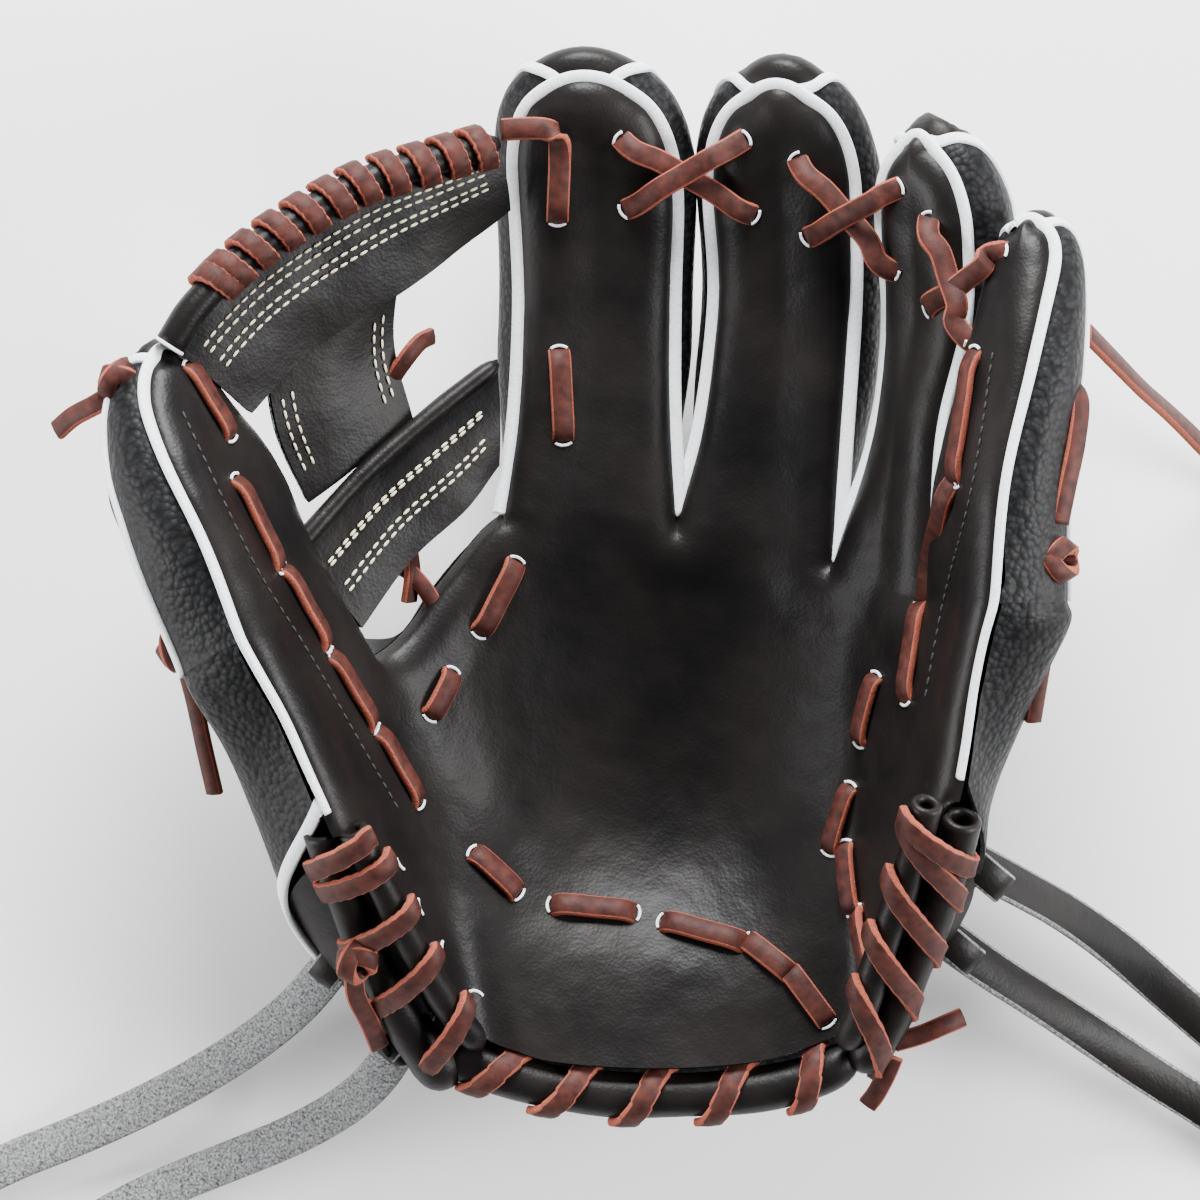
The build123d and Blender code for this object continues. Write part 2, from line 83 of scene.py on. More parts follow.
# Stalls: seam on the thumb's side and on the other side, depth of the back, at each station.
STALLS = {
    "index": dict(
        columns=(4, 6), swell=6.4, tip=3.6,
        left=[(-18.5, 20.4, 46), (-15.4, 46, 45), (-13.8, 78, 47), (-14.9, 105, 53),
              (-15.2, 116, 57.5), (-14.0, 123.5, 61), (-11.4, 128.8, 63.5), (-6.8, 132.2, 65.5)],
        right=[(27, 18.5, 43), (25.4, 48, 43), (25.4, 78, 46), (26.0, 104, 53),
               (24.9, 114, 57), (22.6, 121.5, 60.5), (18.8, 127.6, 63.5), (13.2, 131.6, 65.5)],
        depth=[38, 28, 25, 23, 22, 20, 17, 14]),
    "middle": dict(
        columns=(6, 8), swell=6.4, tip=3.6,
        left=[(27, 18.5, 43), (33.9, 44, 42), (38.0, 78, 45), (36.6, 104, 52),
              (36.8, 114.5, 57), (38.6, 122.0, 60.5), (42.0, 127.4, 63.5), (47.0, 130.4, 66)],
        right=[(66.8, 8.2, 50), (71.3, 46, 50), (73.2, 78, 53), (72.9, 102, 60),
               (71.9, 112, 63.5), (69.4, 120, 66), (65.4, 126, 68), (60.0, 129.4, 69)],
        depth=[36, 28, 25, 23, 22, 20, 17, 14]),
    "ring": dict(
        columns=(8, 10), swell=5.6, tip=3.2,
        left=[(66.8, 8.2, 50), (79.4, 40, 54), (83.2, 71, 58), (81.4, 95, 66),
              (81.0, 104, 71), (82.2, 110, 75), (84.4, 114, 78.5), (87.4, 116.6, 81.5)],
        right=[(89, -1, 68), (95.3, 40, 76), (101.5, 69, 82), (101.6, 92, 88),
               (100.2, 101, 89.5), (97.8, 108, 89.5), (95.0, 112.4, 88.5), (92.0, 115.4, 87)],
        depth=[30, 26, 25, 23, 22, 20, 17, 13]),
    "little": dict(
        columns=(10, 12), swell=4.4, tip=2.6,
        left=[(89, -1, 68), (94.9, 30, 86), (101.6, 57, 92), (105.8, 76, 93.5),
              (107.4, 84, 94), (109.2, 88.8, 94.6), (111.4, 92, 95.4), (114.2, 93.8, 96.4)],
        right=[(105.4, -1.4, 112), (110.1, 29, 114), (116.6, 57, 112), (121.0, 76, 107.5),
               (122.8, 84, 104.5), (123.0, 89, 102.4), (122.0, 92.4, 100.6),
               (119.8, 94.4, 98.8)],
        depth=[24, 24, 23, 21, 20, 18, 15, 12]),
    "thumb": dict(
        columns=(0, 2), swell=4.0, tip=2.8,
        left=[(-84, -9.8, 112), (-94.5, 12.5, 112), (-104.5, 33, 108), (-109.6, 46, 102),
              (-110.6, 52.4, 98.4), (-110.0, 57.4, 95.6), (-108.0, 60.6, 93)],
        right=[(-49.8, -16, 58), (-67.5, 8, 62), (-80.3, 35, 70), (-88.6, 47, 77),
               (-93.0, 53.4, 81.4), (-97.4, 58.4, 85), (-102.6, 61.4, 88.6)],
        depth=[27, 28, 26, 22, 20, 17, 12])}

CORDS = {
    "thumb_strap_upper": [(-60, -92, 60), (-69, -105, 45), (-82, -117, 30), (-98, -128, 18),
                          (-116, -138, 10), (-136, -147, 6.5), (-157, -155, 6.5),
                          (-175, -165, 6.5)],
    "thumb_strap_lower": [(-42, -110, 48), (-48, -123, 37), (-58, -135, 26), (-74, -145, 16),
                          (-93, -153, 9), (-113, -161, 6.5), (-132, -171, 6.5),
                          (-149, -184, 6.5)],
    "outer_strap_upper": [(104, -70, 74), (117, -77, 62), (131, -85, 48), (145, -95, 34),
                          (158, -106, 20), (172, -118, 10), (187, -131, 6.5),
                          (201, -146, 6.5)],
    "outer_strap_lower": [(97, -90, 58), (109, -99, 47), (123, -108, 35), (138, -118, 24),
                          (154, -129, 14), (172, -140, 8), (189, -153, 6.5),
                          (204, -169, 6.5)],
    "lace_end": [(134, 68, 74), (142, 61, 63), (150, 54, 50), (157.5, 48.8, 36.5),
                 (165.5, 42.5, 22.5), (174, 35, 10), (183, 27, 4)]}

rng = np.random.default_rng(7)


def dress(piece, body, slot, *nodes):
    """Piece rides on a body and stands for CAD nodes, which it hides; the slot argument is not used."""
    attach(piece, body)
    if nodes:
        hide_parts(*nodes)
    return piece


# ---------------------------------------------------------------- materials
def material(name, color, rough, specular):
    m = bpy.data.materials.new(name)
    m.use_nodes = True
    shader = m.node_tree.nodes["Principled BSDF"]
    shader.inputs["Base Color"].default_value = (*color, 1)
    shader.inputs["Roughness"].default_value = rough
    shader.inputs["Specular IOR Level"].default_value = specular
    return m, m.node_tree.nodes, m.node_tree.links, shader


def tint(nodes, links, shader, source, low, high):
    """Colour between two tones by a pattern's value."""
    ramp = nodes.new("ShaderNodeValToRGB")
    ramp.color_ramp.elements[0].position = 0.3
    ramp.color_ramp.elements[1].position = 0.7
    ramp.color_ramp.elements[0].color = (*low, 1)
    ramp.color_ramp.elements[1].color = (*high, 1)
    links.new(source, ramp.inputs["Fac"])
    links.new(ramp.outputs["Color"], shader.inputs["Base Color"])


def pattern(nodes, links, kind, cell, detail=2.0):
    """A pattern of about the given cell size in millimetres, on Object coordinates."""
    node = nodes.new(kind)
    place = nodes.new("ShaderNodeTexCoord")
    links.new(place.outputs["Object"], node.inputs["Vector"])
    node.inputs["Scale"].default_value = 1 / (cell * MM)
    if kind == "ShaderNodeTexNoise":
        node.inputs["Detail"].default_value = detail
    return node


def bump(nodes, links, height, depth, strength, under=None):
    node = nodes.new("ShaderNodeBump")
    node.inputs["Distance"].default_value = depth * MM
    node.inputs["Strength"].default_value = strength
    links.new(height, node.inputs["Height"])
    if under:
        links.new(under, node.inputs["Normal"])
    return node.outputs["Normal"]


def rough_by(nodes, links, shader, source, low, high):
    node = nodes.new("ShaderNodeMapRange")
    node.inputs["To Min"].default_value = low
    node.inputs["To Max"].default_value = high
    links.new(source, node.inputs["Value"])
    links.new(node.outputs["Result"], shader.inputs["Roughness"])


def smooth_leather():
    m, nodes, links, shader = material("black_leather", (0.012, 0.010, 0.0095), 0.42, 0.17)
    clouds = pattern(nodes, links, "ShaderNodeTexNoise", 28, 4)
    tint(nodes, links, shader, clouds.outputs["Fac"], (0.0028, 0.0025, 0.0026),
         (0.0085, 0.0068, 0.0062))
    rough_by(nodes, links, shader, clouds.outputs["Fac"], 0.34, 0.52)
    grain = pattern(nodes, links, "ShaderNodeTexVoronoi", 0.9)
    creases = pattern(nodes, links, "ShaderNodeTexNoise", 5, 6)
    first = bump(nodes, links, creases.outputs["Fac"], 0.7, 0.28)
    last = bump(nodes, links, grain.outputs["Distance"], 0.25, 0.16, first)
    links.new(last, shader.inputs["Normal"])
    return m


def pebbled_leather():
    m, nodes, links, shader = material("pebbled_leather", (0.02, 0.02, 0.021), 0.5, 0.15)
    cells = pattern(nodes, links, "ShaderNodeTexVoronoi", 1.8)
    cells.feature = "SMOOTH_F1"
    cells.inputs["Smoothness"].default_value = 0.25
    # Pebble tops lighter and the grooves between pebbles darker: painted shade in the grooves.
    tint(nodes, links, shader, cells.outputs["Distance"], (0.0095, 0.0098, 0.011),
         (0.0028, 0.0028, 0.0032))
    flip = nodes.new("ShaderNodeMath")
    flip.operation = "SUBTRACT"
    flip.inputs[0].default_value = 1.0
    links.new(cells.outputs["Distance"], flip.inputs[1])
    fine = pattern(nodes, links, "ShaderNodeTexNoise", 0.5, 3)
    first = bump(nodes, links, flip.outputs[0], 0.8, 0.42)
    links.new(bump(nodes, links, fine.outputs["Fac"], 0.15, 0.2, first), shader.inputs["Normal"])
    return m


def even_finish(name, color, rough, specular, grain, tones, relief=None):
    """Material of one noise: its cell and detail, its two tones and the relief's depth and strength."""
    m, nodes, links, shader = material(name, color, rough, specular)
    noise_node = pattern(nodes, links, "ShaderNodeTexNoise", *grain)
    tint(nodes, links, shader, noise_node.outputs["Fac"], *tones)
    if relief:
        links.new(bump(nodes, links, noise_node.outputs["Fac"], *relief), shader.inputs["Normal"])
    return m


def soft_white():
    return even_finish("white_binding", (0.82, 0.85, 0.88), 0.62, 0.32, (0.8, 4),
                       ((0.66, 0.70, 0.74), (0.90, 0.92, 0.94)), (0.3, 0.35))


def lace_grain():
    m, nodes, links, shader = material("lace_grain", (0.085, 0.028, 0.022), 0.58, 0.17)
    clouds = pattern(nodes, links, "ShaderNodeTexNoise", 3.0, 5)
    tint(nodes, links, shader, clouds.outputs["Fac"], (0.024, 0.0072, 0.0060),
         (0.070, 0.0195, 0.0140))
    fine = pattern(nodes, links, "ShaderNodeTexNoise", 0.45, 3)
    links.new(bump(nodes, links, fine.outputs["Fac"], 0.2, 0.3), shader.inputs["Normal"])
    return m


def lace_edge():
    return even_finish("lace_raw_edge", (0.45, 0.12, 0.07), 0.85, 0.32, (0.5, 5),
                       ((0.17, 0.036, 0.020), (0.31, 0.076, 0.043)), (0.4, 0.6))


def thread():
    return even_finish("cream_thread", (0.78, 0.72, 0.52), 0.55, 0.32, (0.4, 2),
                       ((0.62, 0.55, 0.36), (0.88, 0.83, 0.66)))


def dark_thread():
    return even_finish("black_thread", (0.02, 0.02, 0.02), 0.6, 0.32, (0.4, 2),
                       ((0.008, 0.008, 0.008), (0.03, 0.03, 0.03)))


def suede():
    return even_finish("grey_suede", (0.16, 0.165, 0.17), 0.95, 0.2, (0.7, 6),
                       ((0.035, 0.037, 0.039), (0.33, 0.335, 0.34)), (0.5, 0.6))


def fleece_pile():
    return even_finish("black_fleece", (0.015, 0.015, 0.016), 0.95, 0.15, (1.2, 6),
                       ((0.006, 0.006, 0.007), (0.05, 0.05, 0.053)), (1.0, 0.8))


def tan_lining():
    return even_finish("tan_lining", (0.3, 0.17, 0.09), 0.75, 0.32, (6, 5),
                       ((0.22, 0.12, 0.06), (0.38, 0.23, 0.13)), (0.5, 0.3))


# Near-black for the disc inside a roll's mouth: painted shade of the hollow, not a leather colour.
def painted_hole_shade():
    return even_finish("painted_hole_shade", (0.002, 0.002, 0.002), 0.9, 0.1, (1.0, 2),
                       ((0.001, 0.001, 0.001), (0.004, 0.004, 0.004)))


LEATHER = smooth_leather()
PEBBLED = pebbled_leather()
WHITE = soft_white()
GRAIN = lace_grain()
RAW = lace_edge()
THREAD = thread()
DARK_THREAD = dark_thread()
SUEDE = suede()
# Painted shade for the hollow inside the rolls' mouths.
HOLE_SHADE = painted_hole_shade()
FLEECE = fleece_pile()
LINING = tan_lining()


# ---------------------------------------------------------------- lines and surfaces
def smooth(points, count):
    """Even places along a smooth line through the points."""
    p = np.array(points, float)
    p = np.vstack([2 * p[:1] - p[1:2], p, 2 * p[-1:] - p[-2:-1]])
    t = np.linspace(0, 1, 24, endpoint=False)[:, None]
    spans = []
    for a, b, c, d in zip(p, p[1:], p[2:], p[3:]):
        spans.append(0.5 * (2 * b + (c - a) * t + (2 * a - 5 * b + 4 * c - d) * t ** 2
                            + (3 * b - a - 3 * c + d) * t ** 3))
    line = np.vstack(spans + [p[-2:-1]])
    return even(line, count)


def even(line, count):
    """Places at equal distances along a line of places."""
    gone = np.r_[0, np.cumsum(np.linalg.norm(np.diff(line, axis=0), axis=1))]
    want = np.linspace(0, gone[-1], count)
    return np.stack([np.interp(want, gone, line[:, k]) for k in range(line.shape[1])], 1)


def softened(line, turns):
    """Line with its inner places eased towards their neighbours."""
    line = line.copy()
    for _ in range(turns):
        line[1:-1] = (line[:-2] + 2 * line[1:-1] + line[2:]) / 4
    return line


def unit(v):
    return v / np.maximum(np.linalg.norm(v, axis=-1, keepdims=True), 1e-9)


def ease(x):
    x = np.clip(x, 0, 1)
    return x * x * (3 - 2 * x)


def spaced(count):
    """0 to 1, closer together at both ends."""
    return 0.5 - 0.5 * np.cos(np.linspace(0, pi, count))


def grid_normals(grid, plain=False):
    """Normals of a grid's places, each face counting by its area."""
    face = np.cross(grid[1:, 1:] - grid[:-1, :-1], grid[1:, :-1] - grid[:-1, 1:])
    total = np.zeros(grid.shape)
    for rows in (slice(0, -1), slice(1, None)):
        for columns in (slice(0, -1), slice(1, None)):
            total[rows, columns] += face
    return total if plain else unit(total)


def nearest(points, line):
    """Distance of each point to a line, and the line's direction where it is nearest."""
    flat = points.reshape(-1, 3)
    start, run = line[:-1], np.diff(line, axis=0)
    square = np.maximum((run ** 2).sum(1), 1e-12)
    found, heading = np.empty(len(flat)), np.empty((len(flat), 3))
    for part in np.array_split(np.arange(len(flat)), max(1, len(flat) // 1500)):
        gap = flat[part, None, :] - start[None]
        share = np.clip((gap * run[None]).sum(2) / square, 0, 1)
        spot = start[None] + share[..., None] * run[None]
        far = np.linalg.norm(flat[part, None, :] - spot, axis=2)
        best = far.argmin(1)
        found[part], heading[part] = far[np.arange(len(part)), best], run[best]
    return found.reshape(points.shape[:-1]), unit(heading).reshape(points.shape)


def wrinkle(points, size, amount):
    """Slow uneven rise and fall of worked leather."""
    flat = points.reshape(-1, 3)
    rise = np.array([noise.noise(Vector(p / size)) for p in flat])
    return (rise * amount).reshape(points.shape[:-1])


# ---------------------------------------------------------------- meshes
def mesh_piece(name, verts, faces, materials, indices=None, normals=None):
    data = bpy.data.meshes.new(name)
    data.from_pydata([tuple(v) for v in (np.asarray(verts) + HOME) * MM], [], faces)
    for m in materials:
        data.materials.append(m)
    if indices is not None:
        data.polygons.foreach_set("material_index", indices)
    data.polygons.foreach_set("use_smooth", [True] * len(data.polygons))
    data.update()
    if normals is not None:
        data.normals_split_custom_set_from_vertices([tuple(n) for n in normals])
    piece = bpy.data.objects.new(name, data)
    bpy.context.collection.objects.link(piece)
    return piece


def grid_faces(rows, columns, start=0, wrap=False):
    faces = []
    for i in range(rows - 1):
        for j in range(columns if wrap else columns - 1):
            k = (j + 1) % columns
            a = start + i * columns
            faces.append((a + j, a + k, a + columns + k, a + columns + j))
    return faces


def hide_from(name, grids, thickness, mats, kinds=None):
    """Closed sheet of leather from grids of places with their normals."""
    verts, norms, drops, faces, start = [], [], [], [], 0
    for grid, normal, *lean in grids:
        rows, columns = grid.shape[:2]
        verts.append(grid.reshape(-1, 3))
        norms.append(normal.reshape(-1, 3))
        drops.append((lean[0] if lean else normal).reshape(-1, 3))
        faces += grid_faces(rows, columns, start)
        start += rows * columns
    verts, norms, drops = np.vstack(verts), np.vstack(norms), np.vstack(drops)
    key = {}
    remap = np.arange(len(verts))
    for i, v in enumerate(np.round(verts, 3)):
        remap[i] = key.setdefault(tuple(v), i)
    used = sorted(set(remap))
    place = {old: new for new, old in enumerate(used)}
    kinds = kinds or [0] * len(faces)
    faces = [[place[remap[i]] for i in f] for f in faces]
    faces = [[i for n, i in enumerate(f) if i != f[n - 1]] for f in faces]
    kinds = [kind for kind, f in zip(kinds, faces) if len(f) > 2]
    faces = [tuple(f) for f in faces if len(f) > 2]
    verts, norms, drops = verts[used], norms[used], drops[used]
    count = {}
    for f in faces:
        for a, b in zip(f, list(f[1:]) + [f[0]]):
            count[(a, b)] = count.get((a, b), 0) + 1
    rim = [(a, b) for a, b in count if (b, a) not in count]
    n = len(verts)
    low = [tuple(i + n for i in reversed(f)) for f in faces]
    wall = [(b, a, a + n, b + n) for a, b in rim]
    return mesh_piece(name, np.vstack([verts, verts - drops * thickness]), faces + low + wall,
                      mats, kinds + kinds + [0] * len(wall), np.vstack([norms, -norms]))


def ribbon(line, ups, width, thick, bulge=0.25, sides=None):
    """Flat band with rounded edges along a line: places, faces and material numbers."""
    line = np.asarray(line, float)
    along = unit(np.gradient(line, axis=0))
    side = unit(np.cross(along, ups)) if sides is None else unit(sides)
    up = unit(np.cross(side, along))
    side = np.cross(along, up)
    w, t = width / 2, thick / 2
    shape = [(-w, -0.5 * t), (-w, 0.5 * t), (-0.86 * w, t), (0, t * (1 + bulge)),
             (0.86 * w, t), (w, 0.5 * t), (w, -0.5 * t), (0.86 * w, -t), (0, -t),
             (-0.86 * w, -t)]
    kinds = [1, 1, 0, 0, 1, 1, 1, 0, 0, 1]
    rows = np.stack([line + side * a + up * b for a, b in shape], 1)
    count = len(shape)
    verts = rows.reshape(-1, 3)
    faces, index = [], []
    for i in range(len(line) - 1):
        for j in range(count):
            k = (j + 1) % count
            a = i * count
            faces.append((a + j, a + k, a + count + k, a + count + j))
            index.append(kinds[j])
    last = (len(line) - 1) * count
    faces.append(tuple(range(count - 1, -1, -1)))
    faces.append(tuple(range(last, last + count)))
    index += [1, 1]
    return verts, [tuple(reversed(f)) for f in faces], index


def join_parts(name, parts, mats):
    verts, faces, index, start = [], [], [], 0
    for v, f, i in parts:
        verts.append(v)
        faces += [tuple(a + start for a in face) for face in f]
        index += i
        start += len(v)
    return mesh_piece(name, np.vstack(verts), faces, mats, index)


def cell(start, end, normal, radius, flat=0.7):
    """One stitch: a small grain of thread between two places."""
    start, end = np.asarray(start, float), np.asarray(end, float)
    along = unit(end - start)
    side = unit(np.cross(along, normal))
    up = np.cross(side, along)
    rings = [(0.0, 0.45), (0.25, 1.0), (0.75, 1.0), (1.0, 0.45)]
    verts = []
    for share, fat in rings:
        for k in range(6):
            angle = k * pi / 3
            verts.append(start + (end - start) * share + side * cos(angle) * radius * fat
                         + up * sin(angle) * radius * fat * flat)
    faces = grid_faces(4, 6, 0, True)
    faces += [tuple(range(5, -1, -1)), tuple(range(18, 24))]
    return np.array(verts), faces, [0] * len(faces)


def stitches(line, normals, pitch=3.0, dash=2.1, radius=0.38, lift=0.25):
    """Row of stitches along a line on a surface."""
    line = np.asarray(line, float)
    length = np.linalg.norm(np.diff(line, axis=0), axis=1).sum()
    count = max(2, int(length / pitch))
    spots = even(np.hstack([line, np.asarray(normals, float)]), count * 20 + 1)
    made = []
    for k in range(count):
        a = spots[k * 20]
        b = spots[k * 20 + int(20 * dash / pitch)]
        n = unit(a[3:])
        made.append(cell(a[:3] + n * lift, b[:3] + n * lift, n, radius))
    return made


# ---------------------------------------------------------------- camera and loose cords
def camera():
    height = 2.0
    width_seen = 0.3156         # across the view, at the middle of the glove's depth
    level = 0.06
    lens = bpy.data.cameras.new("camera")
    lens.sensor_width = 36
    lens.angle = 2 * atan(width_seen / 2 / (height - level))
    eye = bpy.data.objects.new("camera", lens)
    bpy.context.collection.objects.link(eye)
    eye.location = (0.0091, 0.0008, height)
    bpy.context.scene.camera = eye


camera()


def route_line(points):
    """Places along the smooth curve that a cord follows, in millimetres."""
    data = bpy.data.curves.new("route", "CURVE")
    data.dimensions = "3D"
    data.resolution_u = 10
    spline = data.splines.new("NURBS")
    spline.points.add(len(points) - 1)
    for point, place in zip(spline.points, points):
        point.co = (*place, 1)
    spline.order_u = 3
    spline.use_endpoint_u = True
    holder = bpy.data.objects.new("route", data)
    bpy.context.collection.objects.link(holder)
    bpy.context.view_layer.update()
    mesh = bpy.data.meshes.new_from_object(holder)
    places = np.array([v.co[:] for v in mesh.vertices])
    bpy.data.objects.remove(holder)
    bpy.data.meshes.remove(mesh)
    bpy.data.curves.remove(data)
    return places


def loose_strap(name, body, width, thick, grain, edge, lean, slot):
    places = route_line(CORDS[name])
    line = even(places, 90)
    ups = unit(np.tile(lean, (90, 1)) + 0.12 * np.sin(np.linspace(0, 7, 90))[:, None])
    verts, faces, index = ribbon(line, ups, width, thick, 0.1)
    piece = mesh_piece(name + "_leather", verts, faces, [grain, edge], index)
    dress(piece, body, slot, name)


for name in ("thumb_strap_upper", "thumb_strap_lower"):
    loose_strap(name, "thumb", STRAP_W, STRAP_T, SUEDE, SUEDE, (0.25, 0.25, 0.94), "strap_leather")
for name in ("outer_strap_upper", "outer_strap_lower"):
    loose_strap(name, "outer", STRAP_W, STRAP_T, LEATHER, SUEDE, (-0.2, 0.3, 0.93),
                "strap_leather")
loose_strap("lace_end", "outer", LACE_W, LACE_T, GRAIN, RAW, (0.2, 0.5, 0.84), "lace")


# ---------------------------------------------------------------- the glove's front
def palm_grid(rows, per_lane):
    """Surface through the palm's rows; columns of each lane are closer at its seams."""
    lane = spaced(per_lane)
    across = np.concatenate([i + lane[:-1] for i in range(6)] + [[6.0]]) / 6
    dense = np.array([at_shares(smooth(row, 400), row, across) for row in PALM_ROWS])
    return np.stack([smooth(dense[:, j], rows) for j in range(dense.shape[1])], 1)


def at_shares(line, row, across):
    """Places on a smooth line where each pair of its points takes an equal share."""
    gone = np.r_[0, np.cumsum(np.linalg.norm(np.diff(line, axis=0), axis=1))]
    marks = [gone[np.argmin(((line - np.array(p)) ** 2).sum(1))] for p in row]
    want = np.interp(across * (len(row) - 1), np.arange(len(row)), marks)
    return np.stack([np.interp(want, gone, line[:, k]) for k in range(3)], 1)


ROWS, PER_LANE, STALL_ROWS = 90, 37, 120
PALM = palm_grid(ROWS, PER_LANE)
PALM_N = grid_normals(PALM)
PALM_LOW = PALM - PALM_N * CROWN        # level of the seams under the palm's surface


def lane_columns(first, last):
    return slice(first // 2 * (PER_LANE - 1), last // 2 * (PER_LANE - 1) + 1)


def at_rows(points):
    """Stations spread over a stall's rows, which are closer together at its tip."""
    line = smooth(points, 900)
    row = np.sin(np.linspace(0, pi / 2, STALL_ROWS)) * 899
    return np.stack([np.interp(row, np.arange(900), line[:, k]) for k in range(line.shape[1])], 1)


def stall_base(stall):
    """Flat base between a stall's seams with a rounded tip, its front normals and depths."""
    depth = np.array(stall["depth"], float)[:, None]
    lane = lane_columns(*stall["columns"])
    feet = [PALM_LOW[-1, lane.start], PALM_LOW[-1, lane.stop - 1]]
    left_line = np.vstack([feet[:1], stall["left"][1:]])
    right_line = np.vstack([feet[1:], stall["right"][1:]])
    both = at_rows(np.hstack([left_line, right_line, depth]))
    left, right = both[:, :3], both[:, 3:6]
    along = unit(np.gradient((left + right) / 2, axis=0))
    out = unit(np.cross(unit(right - left), along))
    b = spaced(PER_LANE)[None, :, None]
    grid = left[:, None] * (1 - b) + right[:, None] * b
    t = np.sin(np.linspace(0, pi / 2, STALL_ROWS))
    push = stall["tip"] * ease((t - 0.8) / 0.2)
    grid = grid + along[:, None] * (1 - (2 * b - 1) ** 2) * push[:, None, None]
    half = np.linalg.norm(right - left, axis=1) / 2
    return grid, np.broadcast_to(out[:, None], grid.shape).copy(), both[:, 6], half


def around(grid):
    """Edge of a stall's grid from its left foot over the tip to its right foot."""
    return np.vstack([grid[:-1, 0], grid[-1], grid[-2::-1, -1]])


def crown(distance):
    share = np.clip(distance / CROWN_EDGE, 0, 1)
    dip = 1.3 * ease((distance - CROWN_EDGE) / 12)
    return CROWN * np.sqrt(1 - (1 - share) ** 2) - dip


BASES = {name: stall_base(stall) for name, stall in STALLS.items()}


def worn(grid, normal):
    return grid + normal * (wrinkle(grid, 16, 0.5) + wrinkle(grid, 6, 0.15))[..., None]


def front_grids():
    free = lane_columns(2, 4)
    lines = [PALM_LOW[:, 0], PALM_LOW[:, -1], PALM_LOW[-1, free]]
    for name in ("middle", "ring", "little"):
        foot = PALM_LOW[-1, lane_columns(*STALLS[name]["columns"]).start]
        lines.append(np.array([foot, foot + (0, 0.01, 0)]))
    away = np.min([nearest(PALM_LOW, line)[0] for line in lines], axis=0)
    palm = worn(PALM + PALM_N * (crown(away) - CROWN)[..., None], PALM_N)
    found = {"palm": (palm, grid_normals(palm, True), PALM_N)}
    for name, stall in STALLS.items():
        base, out, _, _ = BASES[name]
        lane = lane_columns(*stall["columns"])
        fade = 1 - ease(np.linspace(0, 1, STALL_ROWS) / 0.5)[:, None, None]
        raised = base + out * CROWN
        raised = raised + (PALM[-1, lane] - raised[0])[None] * fade
        lean = unit(PALM_N[-1, lane][None] * fade + out * (1 - fade))
        near = nearest(base, around(base))[0]
        near = near + (away[-1, lane] - near[0])[None] * fade[..., 0]
        near[:, 0] = 0
        near[:, -1] = 0
        grid = worn(raised + lean * (crown(near) - CROWN)[..., None], lean)
        found[name] = (grid, grid_normals(grid, True), lean)
        shared = found[name][1][0] + found["palm"][1][-1, lane]
        found[name][1][0] = shared
        found["palm"][1][-1, lane] = shared
    return {name: (grid, unit(normal), lean) for name, (grid, normal, lean) in found.items()}


FRONT = front_grids()


def lane_piece(name, lanes, stalls):
    """Leather of some of the palm's lanes with the fronts of their stalls."""
    palm, normal, lean = FRONT["palm"]
    part = lane_columns(*lanes)
    grids = [(palm[:, part], normal[:, part], lean[:, part])] + [FRONT[s] for s in stalls]
    return hide_from(name, grids, HIDE, [LEATHER])


def bend_at(piece):
    """Bakes the piece's placement into its mesh."""
    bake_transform(piece)


palm_leather = lane_piece("palm_leather", (2, 8), ("index", "middle"))
dress(palm_leather, "palm", "smooth_leather", "palm_shell")
thumb_leather = lane_piece("thumb_leather", (0, 2), ("thumb",))
bend_at(thumb_leather)
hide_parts("thumb_shell")
outer_leather = lane_piece("outer_leather", (8, 12), ("ring", "little"))
bend_at(outer_leather)
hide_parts("outer_shell")


# ---------------------------------------------------------------- stall backs
# Round of a back at shares of the way in from its seam: swell, inward turn and depth.
SECTION = smooth([(0, 0, 0, 0), (0.04, 0.5, 0, 0.10), (0.10, 0.9, 0, 0.25),
                  (0.20, 1.0, 0.02, 0.46), (0.34, 0.6, 0.08, 0.69), (0.54, 0.15, 0.29, 0.88),
                  (0.78, 0, 0.65, 0.97), (1, 0, 1, 1)], 200)


def back_grid(name):
    """Back of a stall: out from the seam, round and in to the middle."""
    base, out, depth, half = BASES[name]
    edge = even(around(base), 420)
    away, heading = nearest(base, softened(edge, 3))
    away[:, 0] = away[:, -1] = away[-1] = 0
    reach = np.minimum(half, half[STALL_ROWS // 3])[:, None]
    reach = np.maximum(reach, half[STALL_ROWS // 2] * 0.98)
    share = np.clip(away / reach, 0, 1)
    swell, inward, deep = (np.interp(share, SECTION[:, 0], SECTION[:, k]) for k in (1, 2, 3))
    outward = unit(np.cross(out, heading))
    shift = STALLS[name]["swell"] * swell - inward * reach + share * reach
    t = np.sin(np.linspace(0, pi / 2, STALL_ROWS))[:, None]
    foot = 0.12 + 0.88 * ease(t / 0.4)
    shift = shift - STALLS[name]["swell"] * swell * (1 - foot)
    grid = base + outward * shift[..., None] - out * (deep * depth[:, None])[..., None]
    grid[:, 0], grid[:, -1], grid[-1] = base[:, 0], base[:, -1], base[-1]
    middle = (base[:, :1] + base[:, -1:]) / 2 - out[:, :1] * depth[:, None, None] * 0.35
    return grid, unit(grid - middle)


def back_piece(name, body):
    grid, lean = back_grid(name)
    flip, lean = grid[:, ::-1], lean[:, ::-1]
    normal = grid_normals(flip)
    across = np.abs(np.linspace(-1, 1, PER_LANE - 1))
    kinds = [0 if far > 0.42 else 1 for far in across] * (STALL_ROWS - 1)
    piece = hide_from(name + "_back", [(flip, normal, lean)], HIDE, [PEBBLED, LEATHER], kinds)
    dress(piece, body, "pebbled_leather", name + "_back_shell")
    return grid, normal[:, ::-1]


BODIES = {"index": "palm", "middle": "palm", "ring": "outer", "little": "outer",
          "thumb": "thumb"}
BACKS = {name: back_piece(name, body) for name, body in BODIES.items()}


# ---------------------------------------------------------------- white bindings
def seam_path(name, first=0, last=None):
    """Places and front normals round a stall's seam."""
    base, out, _, _ = BASES[name]
    return np.hstack([around(base), around(out)])[first:last]


